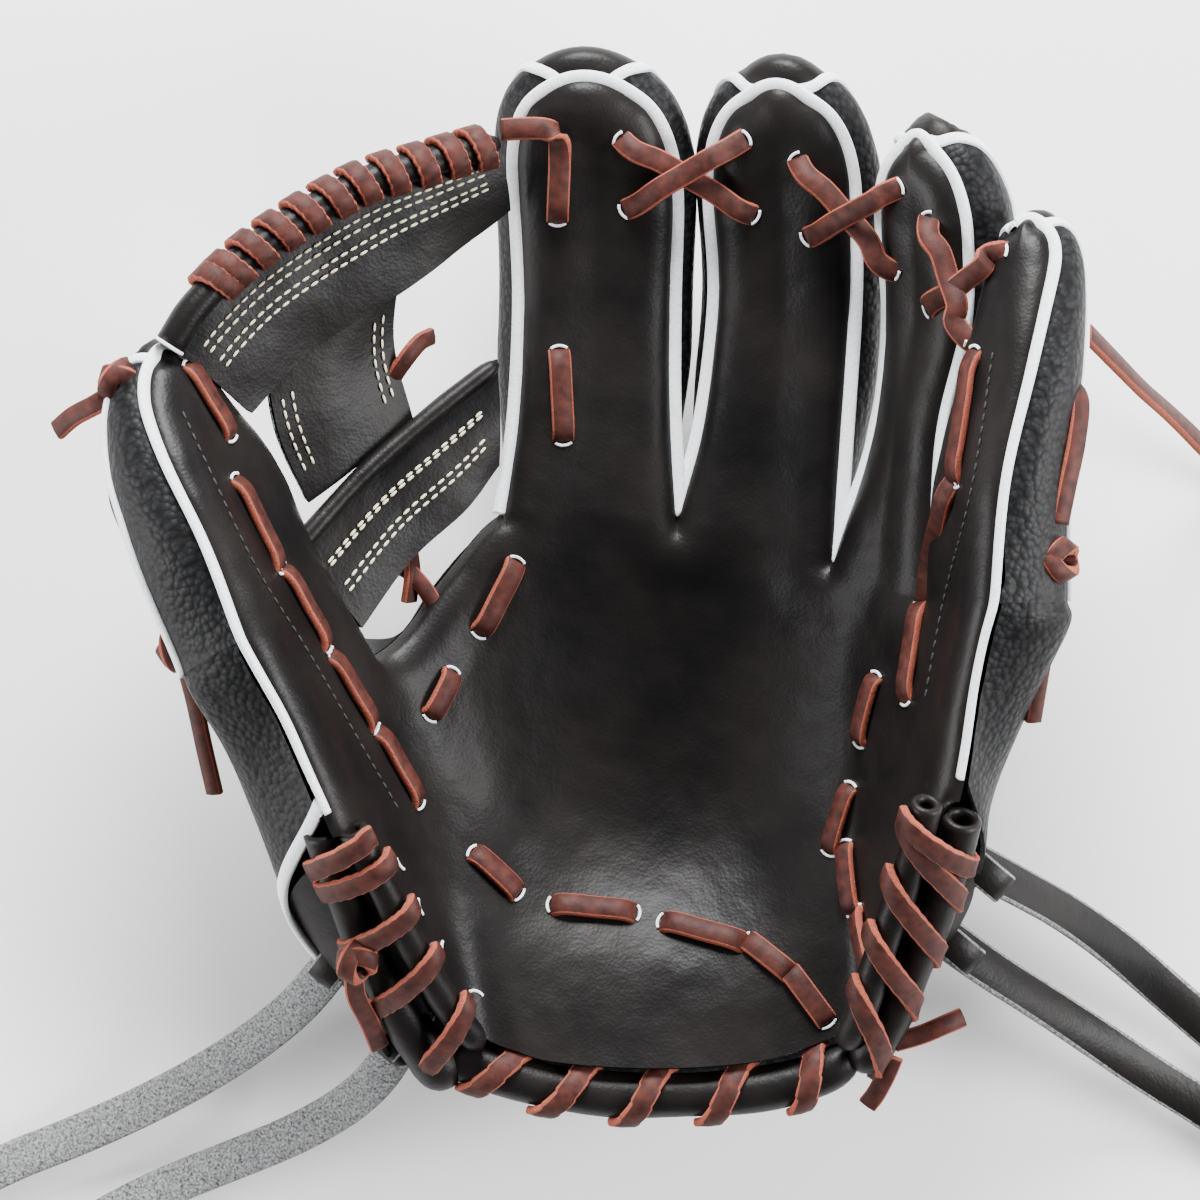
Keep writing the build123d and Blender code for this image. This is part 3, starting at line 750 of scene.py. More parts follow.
def binding(path, turns=24):
    """Welt that stands out of a seam."""
    count = int(np.linalg.norm(np.diff(path[:, :3], axis=0), axis=1).sum() / 0.8)
    path = softened(even(path, count), turns)
    along = unit(np.gradient(path[:, :3], axis=0))
    up = unit(path[:, 3:])
    outward = unit(np.cross(along, up)) * -1
    return ribbon(path[:, :3] + outward * 1.0 + up * 0.5, up, WELT_W, WELT_T)


def back_welt(name, share):
    """Welt over the tip and down a stall's back."""
    grid, normal = BACKS[name]
    column = int((PER_LANE - 1) * share)
    path = np.hstack([grid[::-1, column] + normal[::-1, column] * 0.3, normal[::-1, column]])
    count = int(np.linalg.norm(np.diff(path[:, :3], axis=0), axis=1).sum() / 1.2)
    path = softened(even(path, count), 4)
    return ribbon(path[:, :3], unit(path[:, 3:]), WELT_W * 0.8, WELT_T)


def palm_edge(column, rows):
    return np.hstack([PALM_LOW[rows, column], PALM_N[rows, column]])


def welt_piece(name, parts, body, nodes):
    dress(join_parts(name, parts, [WHITE, WHITE]), body, "welting", *nodes)


TIP = STALL_ROWS + PER_LANE // 2
middle_path = np.vstack([seam_path("index"), seam_path("middle")])
hand_parts = [binding(middle_path)]
hand_parts += [back_welt(n, s) for n in ("index", "middle") for s in (0.3, 0.7)]
welt_piece("hand_bindings", hand_parts, "palm", ("index_welting", "middle_welting"))
outer_path = np.vstack([seam_path("little", TIP - 12), palm_edge(-1, slice(-2, 10, -1))])
outer_parts = [binding(seam_path("ring")), binding(outer_path)]
outer_parts += [back_welt(n, s) for n in ("ring", "little") for s in (0.3, 0.7)]
welt_piece("outer_bindings", outer_parts, "outer", ("ring_welting", "little_welting"))
thumb_path = np.vstack([palm_edge(0, slice(10, -1)), seam_path("thumb", 0, TIP + 16)])
thumb_parts = [binding(thumb_path)] + [back_welt("thumb", s) for s in (0.3, 0.7)]
welt_piece("thumb_bindings", thumb_parts, "thumb", ("thumb_welting",))


# ---------------------------------------------------------------- laces
SKIN_P = np.vstack([g.reshape(-1, 3) for g, _, _ in FRONT.values()])
SKIN_N = np.vstack([n.reshape(-1, 3) for _, n, _ in FRONT.values()])
LACE = [GRAIN, RAW]


def on_skin(x, y):
    """Place and normal on the front leather over a point of the plan."""
    near = ((SKIN_P[:, :2] - (x, y)) ** 2).sum(1).argmin()
    place, normal = SKIN_P[near], SKIN_N[near]
    step = np.array((x, y)) - place[:2]
    rise = -(normal[0] * step[0] + normal[1] * step[1]) / max(normal[2], 0.35)
    return np.array((x, y, place[2] + rise)), normal


def rim(place, normal, away, size=2.9):
    """Worn white edge of a lace hole, on the side the lace doesn't cover."""
    away = unit(away - normal * (away @ normal))
    side = np.cross(normal, away)
    turn = np.linspace(-0.85, 0.85, 12)[:, None]
    line = place + normal * 0.35 + (away * np.cos(turn) * 0.75 + side * np.sin(turn)) * size
    verts, faces, _ = ribbon(line, np.tile(normal, (12, 1)), 0.75, 0.5)
    return verts, faces, [2] * len(faces)


def span(a, b, lift=1.7, width=LACE_W):
    """Lace that comes out of one hole of the front leather and goes into the next."""
    (pa, na), (pb, nb) = on_skin(*a), on_skin(*b)
    run = unit(pb - pa)
    line = [pa - na * 5 - run * 0.8, pa - na * 0.6 - run * 0.5]
    length = np.linalg.norm(pb - pa)
    for share in np.linspace(0.12, 0.88, max(2, int(length / 6))):
        spot = pa[:2] * (1 - share) + pb[:2] * share
        place, normal = on_skin(*spot)
        level = pa * (1 - share) + pb * share
        place[2] = max(place[2], level[2] - 1.5)
        line.append(place + normal * (lift + rng.normal(0, 0.15)))
    line += [pb - nb * 0.6 + run * 0.5, pb - nb * 5 + run * 0.8]
    line = np.array(line)
    line[2:-2] = softened(line[2:-2], 3)
    line = smooth(line, 34)
    side = unit(np.cross(na + nb, pb - pa))
    sides = np.tile(side, (len(line), 1))
    return [ribbon(line, None, width, LACE_T, sides=sides), rim(pa, na, -run), rim(pb, nb, run)]


def strand(points, ups, width=LACE_W, count=40, sides=None):
    """Free length of lace through points with its grain side up."""
    if sides is None:
        line = smooth(np.hstack([points, ups]), count)
        return ribbon(line[:, :3], line[:, 3:], width, LACE_T)
    line = smooth(np.hstack([points, sides]), count)
    return ribbon(line[:, :3], None, width, LACE_T, sides=line[:, 3:])


def knot(place, size=4.2, turn=0.0):
    """Overhand knot of flat lace: two crossing wraps."""
    made = []
    for k, tilt in enumerate((0.5, -0.7)):
        angle = np.linspace(0, 2 * pi, 26)
        reach = size * (1 - 0.12 * k)
        line = np.stack([np.cos(angle) * reach, np.sin(angle) * reach * 0.55 * np.cos(tilt),
                         np.sin(angle) * reach * 0.8], 1)
        spin = turn + tilt
        line = np.stack([line[:, 0] * cos(spin) - line[:, 1] * sin(spin),
                         line[:, 0] * sin(spin) + line[:, 1] * cos(spin), line[:, 2]], 1)
        sides = np.tile((-sin(spin), cos(spin), 0.25), (26, 1))
        made.append(ribbon(line + place, None, LACE_W * 0.85, LACE_T * 1.2, sides=sides))
    return made


def wraps(line, radius, shares, drift, first, last, other=None, flip=1.0, width=LACE_W,
          rims=False):
    """Lace loops over a roll, or over two rolls side by side."""
    line = smooth(line, 200)
    along = unit(np.gradient(line, axis=0))
    second = line if other is None else smooth(other, 200)
    made = []
    for share in shares:
        angle = np.linspace(first, last, 30)
        row = share * 199 + drift * (angle - first) / (last - first)
        row = np.clip(row, 0, 199)
        pick = np.round(row).astype(int)
        centre = (line[pick] + second[pick]) / 2
        half = np.linalg.norm(second[pick] - line[pick], axis=1)[:, None] / 2
        level = unit(second[pick] - line[pick]) if other is not None else unit(
            np.cross(along[pick], (0, 0, 1))) * flip
        top = unit(np.cross(level, along[pick]))
        top = top * np.sign(top[:, 2:3])
        grow = radius + LACE_T / 2 + 0.2
        place = centre + level * (np.cos(angle)[:, None] * (half + grow)) + top * (
            np.sin(angle)[:, None] * grow)
        made.append(ribbon(place, None, width, LACE_T, sides=along[pick]))
        if rims:
            end = place[-3] - level[-3] * 1.5 + line[pick[-9]] - line[pick[-3]]
            made.append(rim(*on_skin(end[0], end[1]), -level[-3]))
    return made


def lace_piece(name, parts, body, nodes):
    return dress(join_parts(name, parts, [GRAIN, RAW, WHITE]), body, "lace", *nodes)


def flat(groups):
    return [part for group in groups for part in group]


def crossing(under, over):
    """Two laces that cross between neighbouring fingertips."""
    made = []
    level = 0
    for (a, b), high in ((under, 1.2), (over, 4.2)):
        (pa, na), (pb, nb) = on_skin(*a), on_skin(*b)
        run = unit(pb - pa)
        high = max(high, level - (pa[2] + pb[2]) / 2)
        mid = (pa + pb) / 2 + (0, 0, high)
        level = mid[2] + 3.2
        points = [pa - na * 5 - run, pa - na * 0.3 - run * 0.3, pa + run * 4 + na * 2.2,
                  pa * 0.72 + pb * 0.28 + (0, 0, high + 0.6), mid,
                  pa * 0.28 + pb * 0.72 + (0, 0, high + 0.6), pb - run * 4 + nb * 2.2,
                  pb - nb * 0.3 + run * 0.3, pb - nb * 5 + run]
        side = unit(np.cross((0, 0, 1.0), pb - pa))
        sides = np.tile(side, (9, 1)) + np.linspace(-0.2, 0.2, 9)[:, None] * (0, 0, 1)
        made.append(strand(points, None, count=48, sides=sides))
        made += [rim(pa, na, -run), rim(pb, nb, run)]
    return made


palm_spans = [((-16, 7.7), (-25, -9.5)), ((-33, -21.5), (-38, -31.5)),
              ((-26.4, -69), (-16, -78.7)), ((-5.3, -82.5), (15, -84.5)),
              ((24, -87), (44, -92)), ((46, -92), (56, -99.5)),
              ((57, -100), (66, -112)), ((-4.2, 63.5), (-3.2, 41.5))]
fingertips = crossing(((12.6, 119), (46.3, 100)), ((14, 101.5), (44, 119)))
lace_piece("fingertip_laces", fingertips, "palm", ("fingertip_lace",))
ring_cross = crossing(((58.6, 113.5), (83.5, 84.5)), ((61.8, 94), (84, 105.5)))
ring_laces = join_parts("ring_laces", ring_cross, [GRAIN, RAW, WHITE])
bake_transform(ring_laces)
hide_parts("ring_lace")
little_cross = crossing(((92, 97), (101.5, 66)), ((92.5, 74.5), (110, 88)))
hook = [strand([(-19, 121.5, 69), (-13, 121.8, 70.5), (-7.5, 121.5, 71), (-4.2, 119.2, 70.2),
                (-4, 113, 67.6), (-4.3, 105, 65), (-4.5, 100.5, 62.6), (-4.6, 98.6, 57)],
               [(0, 0, 1)] * 8, count=44,
               sides=[(0, -1, 0), (0, -1, 0), (0.3, -1, 0), (0.8, -0.6, 0.2), (1, 0, 0),
                      (1, 0, 0), (1, 0, 0), (1, 0, 0)])]
hook.append(rim(*on_skin(-4.6, 99.2), np.array((0, -1.0, 0))))
lace_piece("hook_lace", hook, "palm", ("index_lace",))
lace_piece("palm_laces", flat(span(a, b) for a, b in palm_spans), "palm", ("palm_lace",))
thumb_run = [((-99.5, 58.5), (-89.5, 41.5)), ((-87.5, 29), (-76.6, 7.2)),
             ((-75.2, 6.0), (-64.9, -13.3)), ((-63.2, -16.4), (-53, -34.3)),
             ((-51.5, -36.4), (-41.5, -54.4))]
lace_piece("thumb_laces", flat(span(a, b, 1.5, 5.0) for a, b in thumb_run), "thumb",
           ("thumb_lace",))
outer_run = [((103.0, 61.7), (98.0, 29.5)), ((97.0, 28.2), (91.1, -1.6)),
             ((90.5, -3.0), (86.6, -27)), ((79, -22.6), (75.3, -38.3)),
             ((72.5, -51.7), (67.6, -67)), ((71.4, -67), (73.4, -83)),
             ((75, -84), (77.2, -97.5))]
lace_piece("outer_laces", flat(span(a, b, 1.5, 5.0) for a, b in outer_run), "outer",
           ("outer_lace",))


def sewn(points, reach):
    """Dark seam of fine stitches in the front leather, through points of the plan."""
    plan = smooth([(x, y, 0) for x, y in points], 200)
    found = [on_skin(x, y) for x, y in plan[:, :2]]
    line = softened(np.array([p for p, _ in found]), 8)
    return stitches(line, [n for _, n in found], 3.2, 2.2, 0.42, reach)


for name, points, body in (
        ("thumb_seam_thread", [(-101, 47), (-93, 30), (-81.5, 6), (-69, -15), (-57, -37),
                               (-46, -57)], "thumb"),
        ("outer_seam_thread", [(107.5, 62), (102.5, 30), (95.5, -3), (91, -28)], "outer")):
    dress(join_parts(name, sewn(points, 0.12), [DARK_THREAD]), body, "smooth_leather")


# ---------------------------------------------------------------- rolls at the heel
def tube(line, radius, wall=2.2, bulb=0.0, count=60):
    """Rolled leather; its mouth end is open, with a near-black disc a little way in as painted shade of
    the hollow.
    """
    line = smooth(line, count)
    along = unit(np.gradient(line, axis=0))
    side = unit(np.cross(along, (0, 0, 1.0)))
    up = np.cross(side, along)
    angle = np.linspace(0, 2 * pi, 28, endpoint=False)
    t = np.linspace(0, 1, count)
    fat = radius * (1 + 0.03 * np.sin(19 * t) + bulb * ease((t - 0.6) / 0.4))
    fat[-5:] *= (0.98, 0.93, 0.84, 0.68, 0.4)

    def ring(i, size):
        return (side[i] * np.cos(angle)[:, None] + up[i] * np.sin(angle)[:, None]) * size

    rings = [line[i] + ring(i, fat[i]) for i in range(count)]
    inner = [line[i] + ring(i, fat[i] - wall) for i in (0, 1, 4)]
    lip = [line[0] - along[0] * 0.7 + ring(0, radius - wall / 2)]
    rows = inner[::-1] + lip + rings
    verts = np.vstack(rows)
    faces = [tuple(reversed(f)) for f in grid_faces(len(rows), 28, 0, True)]
    index = [0] * len(faces)
    # Near-black disc closing the roll a little way inside its mouth: painted shade of the hollow.
    faces.append(tuple(range(27, -1, -1))[::-1])
    index.append(1)
    last = (len(rows) - 1) * 28
    faces.append(tuple(range(last, last + 28))[::-1])
    index.append(0)
    return verts, faces, index


def roll_piece(name, tubes, body, nodes):
    return dress(join_parts(name, tubes, [LEATHER, HOLE_SHADE]), body, "smooth_leather", *nodes)


HEEL = [(-32, -122, 52), (-13, -128.5, 52), (6, -132, 50.5), (27, -132.5, 50), (48, -131, 51),
        (64, -127, 53), (74, -121, 55)]
THUMB_IN = [(-57, -61, 101), (-49.5, -76, 93), (-42, -92, 82), (-33, -108, 69), (-25, -119, 59)]
THUMB_OUT = [(-65, -61, 97), (-59.5, -78, 86), (-53, -95, 74), (-44, -113, 62),
             (-33, -129, 50)]
OUTER_IN = [(90.5, -54, 106), (86, -73, 92), (80, -92, 80), (75.5, -108, 69.5), (71, -119, 60.5)]
OUTER_OUT = [(100, -58, 99), (95.5, -77, 86), (89, -96, 73), (82.5, -112, 62), (75, -125, 54)]
roll_piece("heel_tube", [tube(HEEL, HEEL_R)], "palm", ("heel_roll",))
roll_piece("thumb_tubes", [tube(THUMB_IN, 4.0), tube(THUMB_OUT, 5.3, 2.2, 0.3)], "thumb",
           ("thumb_heel_roll", "thumb_wrist_roll"))
roll_piece("outer_tubes", [tube(OUTER_IN, 4.2), tube(OUTER_OUT, 5.2, 2.2, 0.15)], "outer",
           ("outer_heel_roll", "outer_wrist_roll"))
heel_wraps = wraps(HEEL, HEEL_R, (0.05, 0.22, 0.41, 0.61, 0.82), 24, -0.2, 3.3)
lace_piece("heel_laces", heel_wraps, "palm", ("heel_lace",))
thumb_wraps = wraps(THUMB_IN, 5.0, (0.21, 0.42, 0.64, 0.9), -17, -0.3, 3.4, other=THUMB_OUT,
                    rims=True)
thumb_wraps += wraps(THUMB_IN, 5.6, (0.16,), -34, -0.3, 2.9, other=THUMB_OUT)
thumb_wraps += knot(np.array((-56.5, -95.5, 84)), 4.4, 0.6)
thumb_wraps.append(strand([(-57.5, -98, 82), (-57, -105, 76), (-54, -112, 68), (-51.5, -119, 60)],
                          [(0.2, -0.2, 1)] * 4, 5.2))
lace_piece("thumb_heel_laces", thumb_wraps, "thumb", ("thumb_heel_lace",))
outer_wraps = wraps(OUTER_IN, 5.0, (0.3, 0.52, 0.74, 0.97), -42, -0.3, 3.4, other=OUTER_OUT)
outer_wraps += wraps(OUTER_IN, 5.6, (0.14,), -12, -0.3, 3.2, other=OUTER_OUT)
outer_wraps.append(strand([(84, -118, 60), (91, -116, 60), (97, -113.5, 60), (102, -111.5, 58)],
                          [(0, 0, 1)] * 4, 5.2))
outer_wraps.append(strand([(84, -122, 57), (82, -127, 55), (79.5, -132, 52), (77.4, -135, 50)],
                          [(0, 0, 1)] * 4, 5.2))
lace_piece("outer_heel_laces", outer_wraps, "outer", ("outer_heel_lace",))


# ---------------------------------------------------------------- web
def patch(upper, lower, rows=28, columns=60, belly=1.2):
    """Slightly bellied sheet between two edges."""
    top, low = smooth(upper, columns), smooth(lower, columns)
    b = np.linspace(0, 1, rows)[:, None, None]
    grid = low[None] * (1 - b) + top[None] * b
    normal = grid_normals(grid)
    return grid + normal * (np.sin(b * pi) * belly)


def row_on(grid, share, first, last):
    """Places and normals along a stretch of one of a sheet's rows."""
    rows, columns = grid.shape[:2]
    row, part = int(share * (rows - 1)), slice(int(first * columns), int(last * columns))
    return grid[row, part], grid_normals(grid)[row, part]


def web_piece(piece, nodes):
    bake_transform(piece)
    if nodes:
        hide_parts(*nodes)


TOP_UP = [(-104.5, 64.5, 95), (-97, 75.5, 95), (-82, 90, 91), (-58, 105.5, 84),
          (-38, 112.5, 78), (-20, 118, 71)]
TOP_LOW = [(-84, 47, 80), (-69, 63, 76), (-45, 79, 70), (-30, 90.5, 64.5), (-17, 101, 60)]
POST_R = [(-46, 84, 69), (-47.5, 66, 62), (-42.5, 46, 56)]
POST_L = [(-80, 56, 78), (-77, 41, 73), (-70, 24, 63)]
LOW_UP = [(-73, 13, 66), (-56, 32, 61), (-38, 48, 56.5), (-20.5, 62, 52)]
LOW_LOW = [(-56, -9, 58), (-43, 9, 54.5), (-29, 22, 51), (-20, 34, 48)]
top_bar, post, low_bar = (patch(u, d) for u, d in
                          ((TOP_UP, TOP_LOW), (POST_R, POST_L), (LOW_UP, LOW_LOW)))
for name, grid, node in (("web_top", top_bar, "web_top_bar"), ("web_middle", post, "web_post"),
                         ("web_bottom", low_bar, "web_bottom_bar")):
    grid = grid + grid_normals(grid) * (wrinkle(grid, 14, 0.5))[..., None]
    sheet = hide_from(name, [(grid, grid_normals(grid))], 3.4, [LEATHER])
    web_piece(sheet, (node,))
rolled = [tube(TOP_UP, WEB_R, 1.6), tube(np.array(LOW_UP) + (0, -1, 0.6), 2.6, 1.2)]
web_piece(join_parts("web_rolls", rolled, [LEATHER, HOLE_SHADE]), ())
mouth = smooth(TOP_UP, 60)
heading = unit(mouth[0] - mouth[1])
level = unit(np.cross(heading, (0, 0, 1.0)))
turn = np.linspace(0, 2 * pi, 40)[:, None]
ring = mouth[0] + heading * 0.4 + (level * np.cos(turn) + np.cross(level, heading)
                                   * np.sin(turn)) * 3.7
white_ring = [ribbon(ring, np.tile(heading, (40, 1)), 1.3, 0.8)]
web_piece(join_parts("web_tube_edge", white_ring, [WHITE, WHITE]), ())
seams = []
for share in (0.76, 0.70, 0.57, 0.51):
    seams += stitches(*row_on(top_bar, share, 0.05, 0.95))
for share in (0.08, 0.16, 0.84, 0.92):
    seams += stitches(*row_on(post, share, 0.2, 0.8))
for share in (0.70, 0.63, 0.44, 0.37):
    seams += stitches(*row_on(low_bar, share, 0.06, 0.93))
web_piece(join_parts("web_stitching", seams, [THREAD]), ())
loop_shares = (0.17, 0.215, 0.29, 0.37, 0.45, 0.53, 0.605, 0.685, 0.765, 0.845, 0.92)
loops = wraps(TOP_UP, WEB_R, loop_shares, 9, -0.5, 3.9, flip=-1, width=5.4)
web_piece(join_parts("web_loops", loops, LACE), ("web_lace",))
ties = [strand([(-52, 48, 50), (-49, 55, 57), (-45, 61, 61), (-41, 66, 60), (-38, 68, 54)],
               [(0.5, -0.2, 1)] * 5, 4.6),
        strand([(-52, 6, 44), (-46, 7, 49), (-41, 3, 50), (-37, -3, 48)], [(0, 0, 1)] * 4, 4.6),
        strand([(-44, 14, 46), (-43, 6, 50), (-44, -2, 48)], [(1, 0, 1)] * 3, 4.6)]
web_piece(join_parts("web_ties", ties, LACE), ("web_base_lace",))


# ---------------------------------------------------------------- back of the hand
HEEL_BACK = [(-59.1, -60, 102), (-74, -78, 79), (-65, -96, 53), (-51, -108, 30),
             (-36.4, -119.7, 20), (-15, -128, 14), (12, -131, 12), (38.9, -131, 12),
             (60.4, -129, 14), (77.6, -119.6, 22), (91, -102, 44), (104.5, -75, 78),
             (95.4, -54, 101)]
CROTCH_BACK = [(-84.5, -8, 113), (-100.5, -10, 97), (-96, -12, 62), (-77, -20, 28), (-48, -14, 11),
               (-15.1, 12, 6.5), (17.4, 15, 5), (49.9, 14, 5.5), (76.9, 8, 11), (100.3, 3, 30),
               (115.4, 0, 62), (118, -0.5, 94), (104.5, -0.5, 113)]
STALL_FEET = [(-15, 26, 12), (17.4, 31, 11), (50, 30, 11.5), (77, 24, 17)]


def between(a, b, share, drop):
    """Row of places part of the way from one row to another, and lower."""
    return [tuple(np.array(p) * (1 - share) + np.array(q) * share - (0, 0, drop))
            for p, q in zip(a, b)]


def bowl(rows, count, across):
    """Smooth surface through rows of places."""
    dense = np.array([even(smooth(row, 400), across) for row in rows])
    return np.stack([smooth(dense[:, j], count) for j in range(across)], 1)


def hand_part(name, grid, nodes):
    grid = grid[:, ::-1]
    lean = grid_normals(grid)
    piece = hide_from(name, [(grid + lean * wrinkle(grid, 22, 0.6)[..., None], lean)], 2.4,
                      [PEBBLED])
    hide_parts(*nodes)
    return piece


def bend_thumb_side(piece):
    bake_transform(piece)


def side_rows(first, last, foot, tail):
    """Rows of a side panel that runs on from the foot of a stall back."""
    low, high = HEEL_BACK[first:last], CROTCH_BACK[first:last]
    onward = foot + unit(foot - tail) * 11
    return [low, between(low, high, 0.34, 0), list(onward), list(foot)]


def to_seam(grid, column, at_start):
    """Panel whose edge lies along the palm's seam."""
    seam = even(PALM_LOW[18:, column], len(grid))
    near = grid[:, 0] if at_start else grid[:, -1]
    fall = np.linspace(1, 0, grid.shape[1])[None, :, None] ** 2.5
    fall = fall if at_start else fall[:, ::-1]
    return grid + (seam - near)[:, None] * fall


middle_low, middle_high = HEEL_BACK[3:10], CROTCH_BACK[3:10]
middle_rows = [middle_low, between(middle_low, middle_high, 0.34, 2),
               between(middle_low, middle_high, 0.67, 1.5), middle_high,
               [(-79, -16, 32), (-48, -11, 14)] + STALL_FEET + [(101, 17, 36)]]
hand_back = hand_part("hand_back", bowl(middle_rows, 70, 90), ("hand_back_shell", "palm_liner"))
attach(hand_back, "palm")
picks = [0, 3, 6, 10, 14, 18]
stall = BACKS["thumb"][0]
inside = np.vstack([stall[1][picks], CROTCH_BACK[3]])
beyond = np.vstack([stall[9][picks], np.array(CROTCH_BACK[3]) + (0, 8, 2)])
thumb_grid = to_seam(bowl(side_rows(0, 4, inside, beyond), 60, 50), 0, True)
thumb_side = hand_part("thumb_side", thumb_grid, ("thumb_side_panel",))
bend_thumb_side(thumb_side)

# Sheet beside the hand, from the thumb stall's foot and the heel down to the back of the hand.
heel_run = even(PALM_LOW[0, lane_columns(2, 4)], 5)
upper = [*stall[2][[18, 24, 30, 35]], *heel_run[1:]]
lower = [(-79, -16, 32), (-70, -14, 25), (-60, -12, 19), (-48, -11, 14), (-40, 0, 12.5),
         (-32, 10, 12), (-23, 19, 12), (-15, 26, 12)]
gusset = patch(upper, lower, 30, 60, 1.5)
gusset = gusset[:, ::-1] if grid_normals(gusset)[15, 40, 1] < 0 else gusset
gusset = hide_from("thumb_gusset", [(gusset, grid_normals(gusset))], HIDE, [LEATHER])
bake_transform(gusset)

picks = [18, 22, 26, 30, 33, 36]
stall = BACKS["little"][0]
inside = np.vstack([CROTCH_BACK[9], stall[1][picks]])
beyond = np.vstack([np.array(CROTCH_BACK[9]) + (0, 8, 2), stall[9][picks]])
outer_grid = to_seam(bowl(side_rows(9, 13, inside, beyond), 60, 50), -1, False)
outer_side = hand_part("outer_side", outer_grid, ("outer_side_panel",))
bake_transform(outer_side)

for name, high, low, body in (
        ("thumb_wrist_side", [(-60, -64, 98), (-73, -77, 78), (-65, -94, 52), (-50, -106, 29)],
         [(-38, -108, 66), (-50, -116, 56), (-47, -124, 42), (-36, -128, 22)], "thumb"),
        ("outer_wrist_side", [(92, -104, 44), (104, -78, 78), (97, -60, 99)],
         [(77, -124, 30), (86, -112, 54), (78, -108, 66)], "outer")):
    side = patch(high, low, 30, 50, 1.5)
    side = side[:, ::-1] if grid_normals(side)[15, 25, 2] < 0 else side
    dress(hide_from(name, [(side, grid_normals(side))], HIDE, [LEATHER]), body, "smooth_leather")

low_edge = np.hstack([thumb_grid[0, :42], -grid_normals(thumb_grid)[0, :42]])
low_edge[:, :3] += (0, -1.2, 0)
piece = join_parts("thumb_low_binding", [binding(low_edge)], [WHITE, WHITE])
bend_thumb_side(piece)

strap_up = [(-44, -78, 12), (-20, -88, 3.5), (15, -92, 1.2), (50, -88, 2.5), (82, -74, 13)]
strap_low = [(-48, -100, 24), (-22, -112, 9), (14, -116, 5), (48, -113, 7), (80, -98, 20)]
band = patch(strap_up, strap_low, 24, 80, 1.0)
wrist = hide_from("wrist_band", [(band[:, ::-1], -grid_normals(band)[:, ::-1])], 3.0, [PEBBLED])
dress(wrist, "palm", "pebbled_leather", "wrist_strap")
fleece_grid = patch([(-34, -112, 22), (-12, -122, 17.5), (14, -125, 15.5), (40, -123, 16.5),
                     (64, -113, 22)],
                    [(-40, -84, 20), (-14, -90, 12), (15, -92, 9.5), (46, -90, 11),
                     (70, -80, 19)], 30, 90, 1.2)
fluff = wrinkle(fleece_grid, 2.6, 1.1) + wrinkle(fleece_grid, 1.2, 0.7)
fleece_grid = fleece_grid + grid_normals(fleece_grid) * fluff[..., None]
fleece = hide_from("fleece_lining", [(fleece_grid, grid_normals(fleece_grid))], 3.5, [FLEECE])
dress(fleece, "palm", "fleece", "wrist_fleece")

pad_grid = PALM[2:-4, lane_columns(2, 8)][:, 8:-8]
pad_lean = PALM_N[2:-4, lane_columns(2, 8)][:, 8:-8]
pad_grid = pad_grid - pad_lean * (HIDE + 1.2)
padding = hide_from("palm_padding", [(pad_grid, pad_lean)], 4.0, [LINING])
dress(padding, "palm", "felt", "palm_pad", "index_pad", "middle_pad")
for name, body in (("ring", "outer"), ("little", "outer"), ("thumb", "thumb")):
    grid, normal, lean = FRONT[name]
    inner = (grid - lean * (HIDE + 1.0))[4:90:2, 6:-6:2]
    pad = hide_from(name + "_padding", [(inner, normal[4:90:2, 6:-6:2])], 3.0, [LINING])
    dress(pad, body, "felt", name + "_pad")


# ---------------------------------------------------------------- knotted ends and keepers
tip_tie = knot(np.array((-117.5, 55, 92)), 4.6, 0.4)
tip_tie.append(strand([(-119, 52, 92), (-124, 49, 91), (-130, 46, 87), (-134.5, 42.5, 83)],
                      [(0, 0.3, 1)] * 4, 5.4))
tip_tie.append(strand([(-104, 64, 86), (-110, 61, 90), (-114.5, 58, 91.5), (-117, 56, 92)],
                      [(0, 0, 1)] * 4, 5.4))
lace_piece("thumb_tip_laces", tip_tie, "thumb", ("thumb_tip_lace",))
back_tie = [strand([(-112, 30, 93), (-117.5, 27, 98), (-115.5, 19, 99), (-110.5, 11, 98.5),
                    (-106.5, 3, 97), (-103, -8, 94)], [(-0.6, 0, 1)] * 6, 5.4)]
back_tie += knot(np.array((-102.5, -14, 92)), 4.6, 1.3)
back_tie.append(strand([(-100.5, -20, 90), (-98.5, -29, 85), (-96.5, -40, 79), (-94, -52, 74)],
                       [(-0.5, 0, 1)] * 4, 4.6))
back_tie.append(strand([(-104, -12, 90), (-99, -18, 93), (-95, -24, 92)], [(0, 0, 1)] * 3, 4.6))
lace_piece("thumb_back_laces", back_tie, "thumb", ("thumb_back_lace",))
outer_tie = [strand([(123, 55, 98), (129.5, 51, 104), (129, 40, 106), (126.5, 28, 107),
                     (124.5, 18, 106.5)], [(0.6, 0, 1)] * 5, 5.4)]
outer_tie += knot(np.array((124.5, 9, 104.5)), 4.6, 1.6)
outer_tie.append(strand([(124, 3, 103), (122.5, -8, 99), (120.5, -21, 93), (118.8, -33, 88)],
                        [(0.5, 0, 1)] * 4, 4.6))
lace_piece("outer_back_laces", outer_tie, "outer", ("outer_back_lace",))
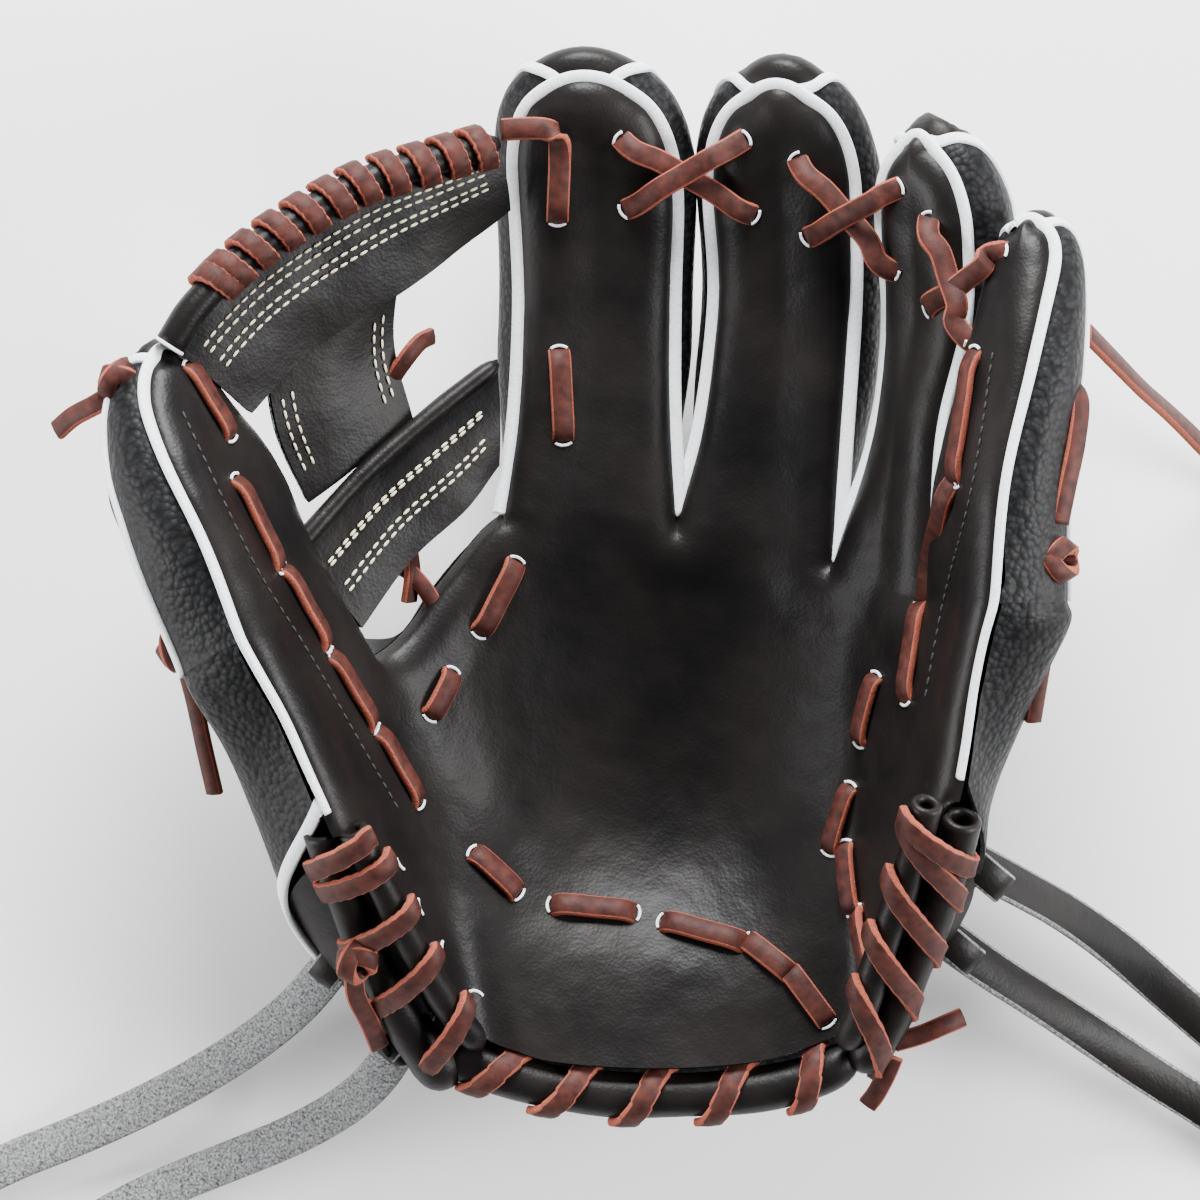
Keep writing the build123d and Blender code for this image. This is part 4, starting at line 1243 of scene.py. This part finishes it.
ring_loop = strand([(100, 106, 80), (106, 106, 82), (110.5, 100, 84), (110.5, 93, 84.5),
                    (106, 88, 84)], [(1, 0.4, 0.6)] * 5, 5.0)
lace_piece("little_laces", little_cross + [ring_loop], "outer", ("little_lace",))


def keeper(name, loops, body, node):
    """Leather loops that the straps leave through."""
    made = []
    for place, turn in loops:
        angle = np.linspace(0, 2 * pi, 30)
        line = np.stack([np.cos(angle) * 8 * cos(turn), np.cos(angle) * 8 * sin(turn),
                         np.sin(angle) * 4], 1)
        sides = np.tile((-sin(turn), cos(turn), 0), (30, 1))
        made.append(ribbon(line + place, None, 8.5, 2.0, sides=sides))
    dress(join_parts(name, made, [LEATHER, SUEDE]), body, "strap_leather", node)


keeper("thumb_keeper", (((-62, -95, 56), 0.9), ((-46, -115, 43), 0.9)), "thumb", "thumb_loop")
keeper("outer_keeper", (((106, -72, 71), -0.7), ((99, -92, 56), -0.7)), "outer", "little_loop")


# ---------------------------------------------------------------- stage
def stage():
    floor_width = 3.0
    below = 0.0005              # keeps the floor clear of the lowest leather
    bpy.ops.mesh.primitive_plane_add(size=floor_width, location=(0, 0, -below))
    floor = bpy.context.object
    floor.name = "floor"
    paper = material("white_paper", (0.92, 0.92, 0.92), 0.9, 0.1)[0]
    floor.data.materials.append(paper)
    world = bpy.context.scene.world or bpy.data.worlds.new("studio")
    bpy.context.scene.world = world
    world.use_nodes = True
    world.node_tree.nodes["Background"].inputs["Color"].default_value = (1, 1, 1, 1)
    world.node_tree.nodes["Background"].inputs["Strength"].default_value = 0.3
    for name, place, size, power in (("softbox_top", (0.0, 1.1, 0.75), 0.6, 70),
                                     ("softbox_left", (-1.2, -0.3, 0.5), 0.7, 26),
                                     ("softbox_right", (1.1, -0.1, 0.65), 0.6, 34)):
        light = bpy.data.lights.new(name, "AREA")
        light.energy = power
        light.size = size
        lamp = bpy.data.objects.new(name, light)
        bpy.context.collection.objects.link(lamp)
        lamp.location = place
        aim = Vector((0, 0, 0.05)) - Vector(place)
        lamp.rotation_euler = aim.to_track_quat("-Z", "Y").to_euler()


stage()
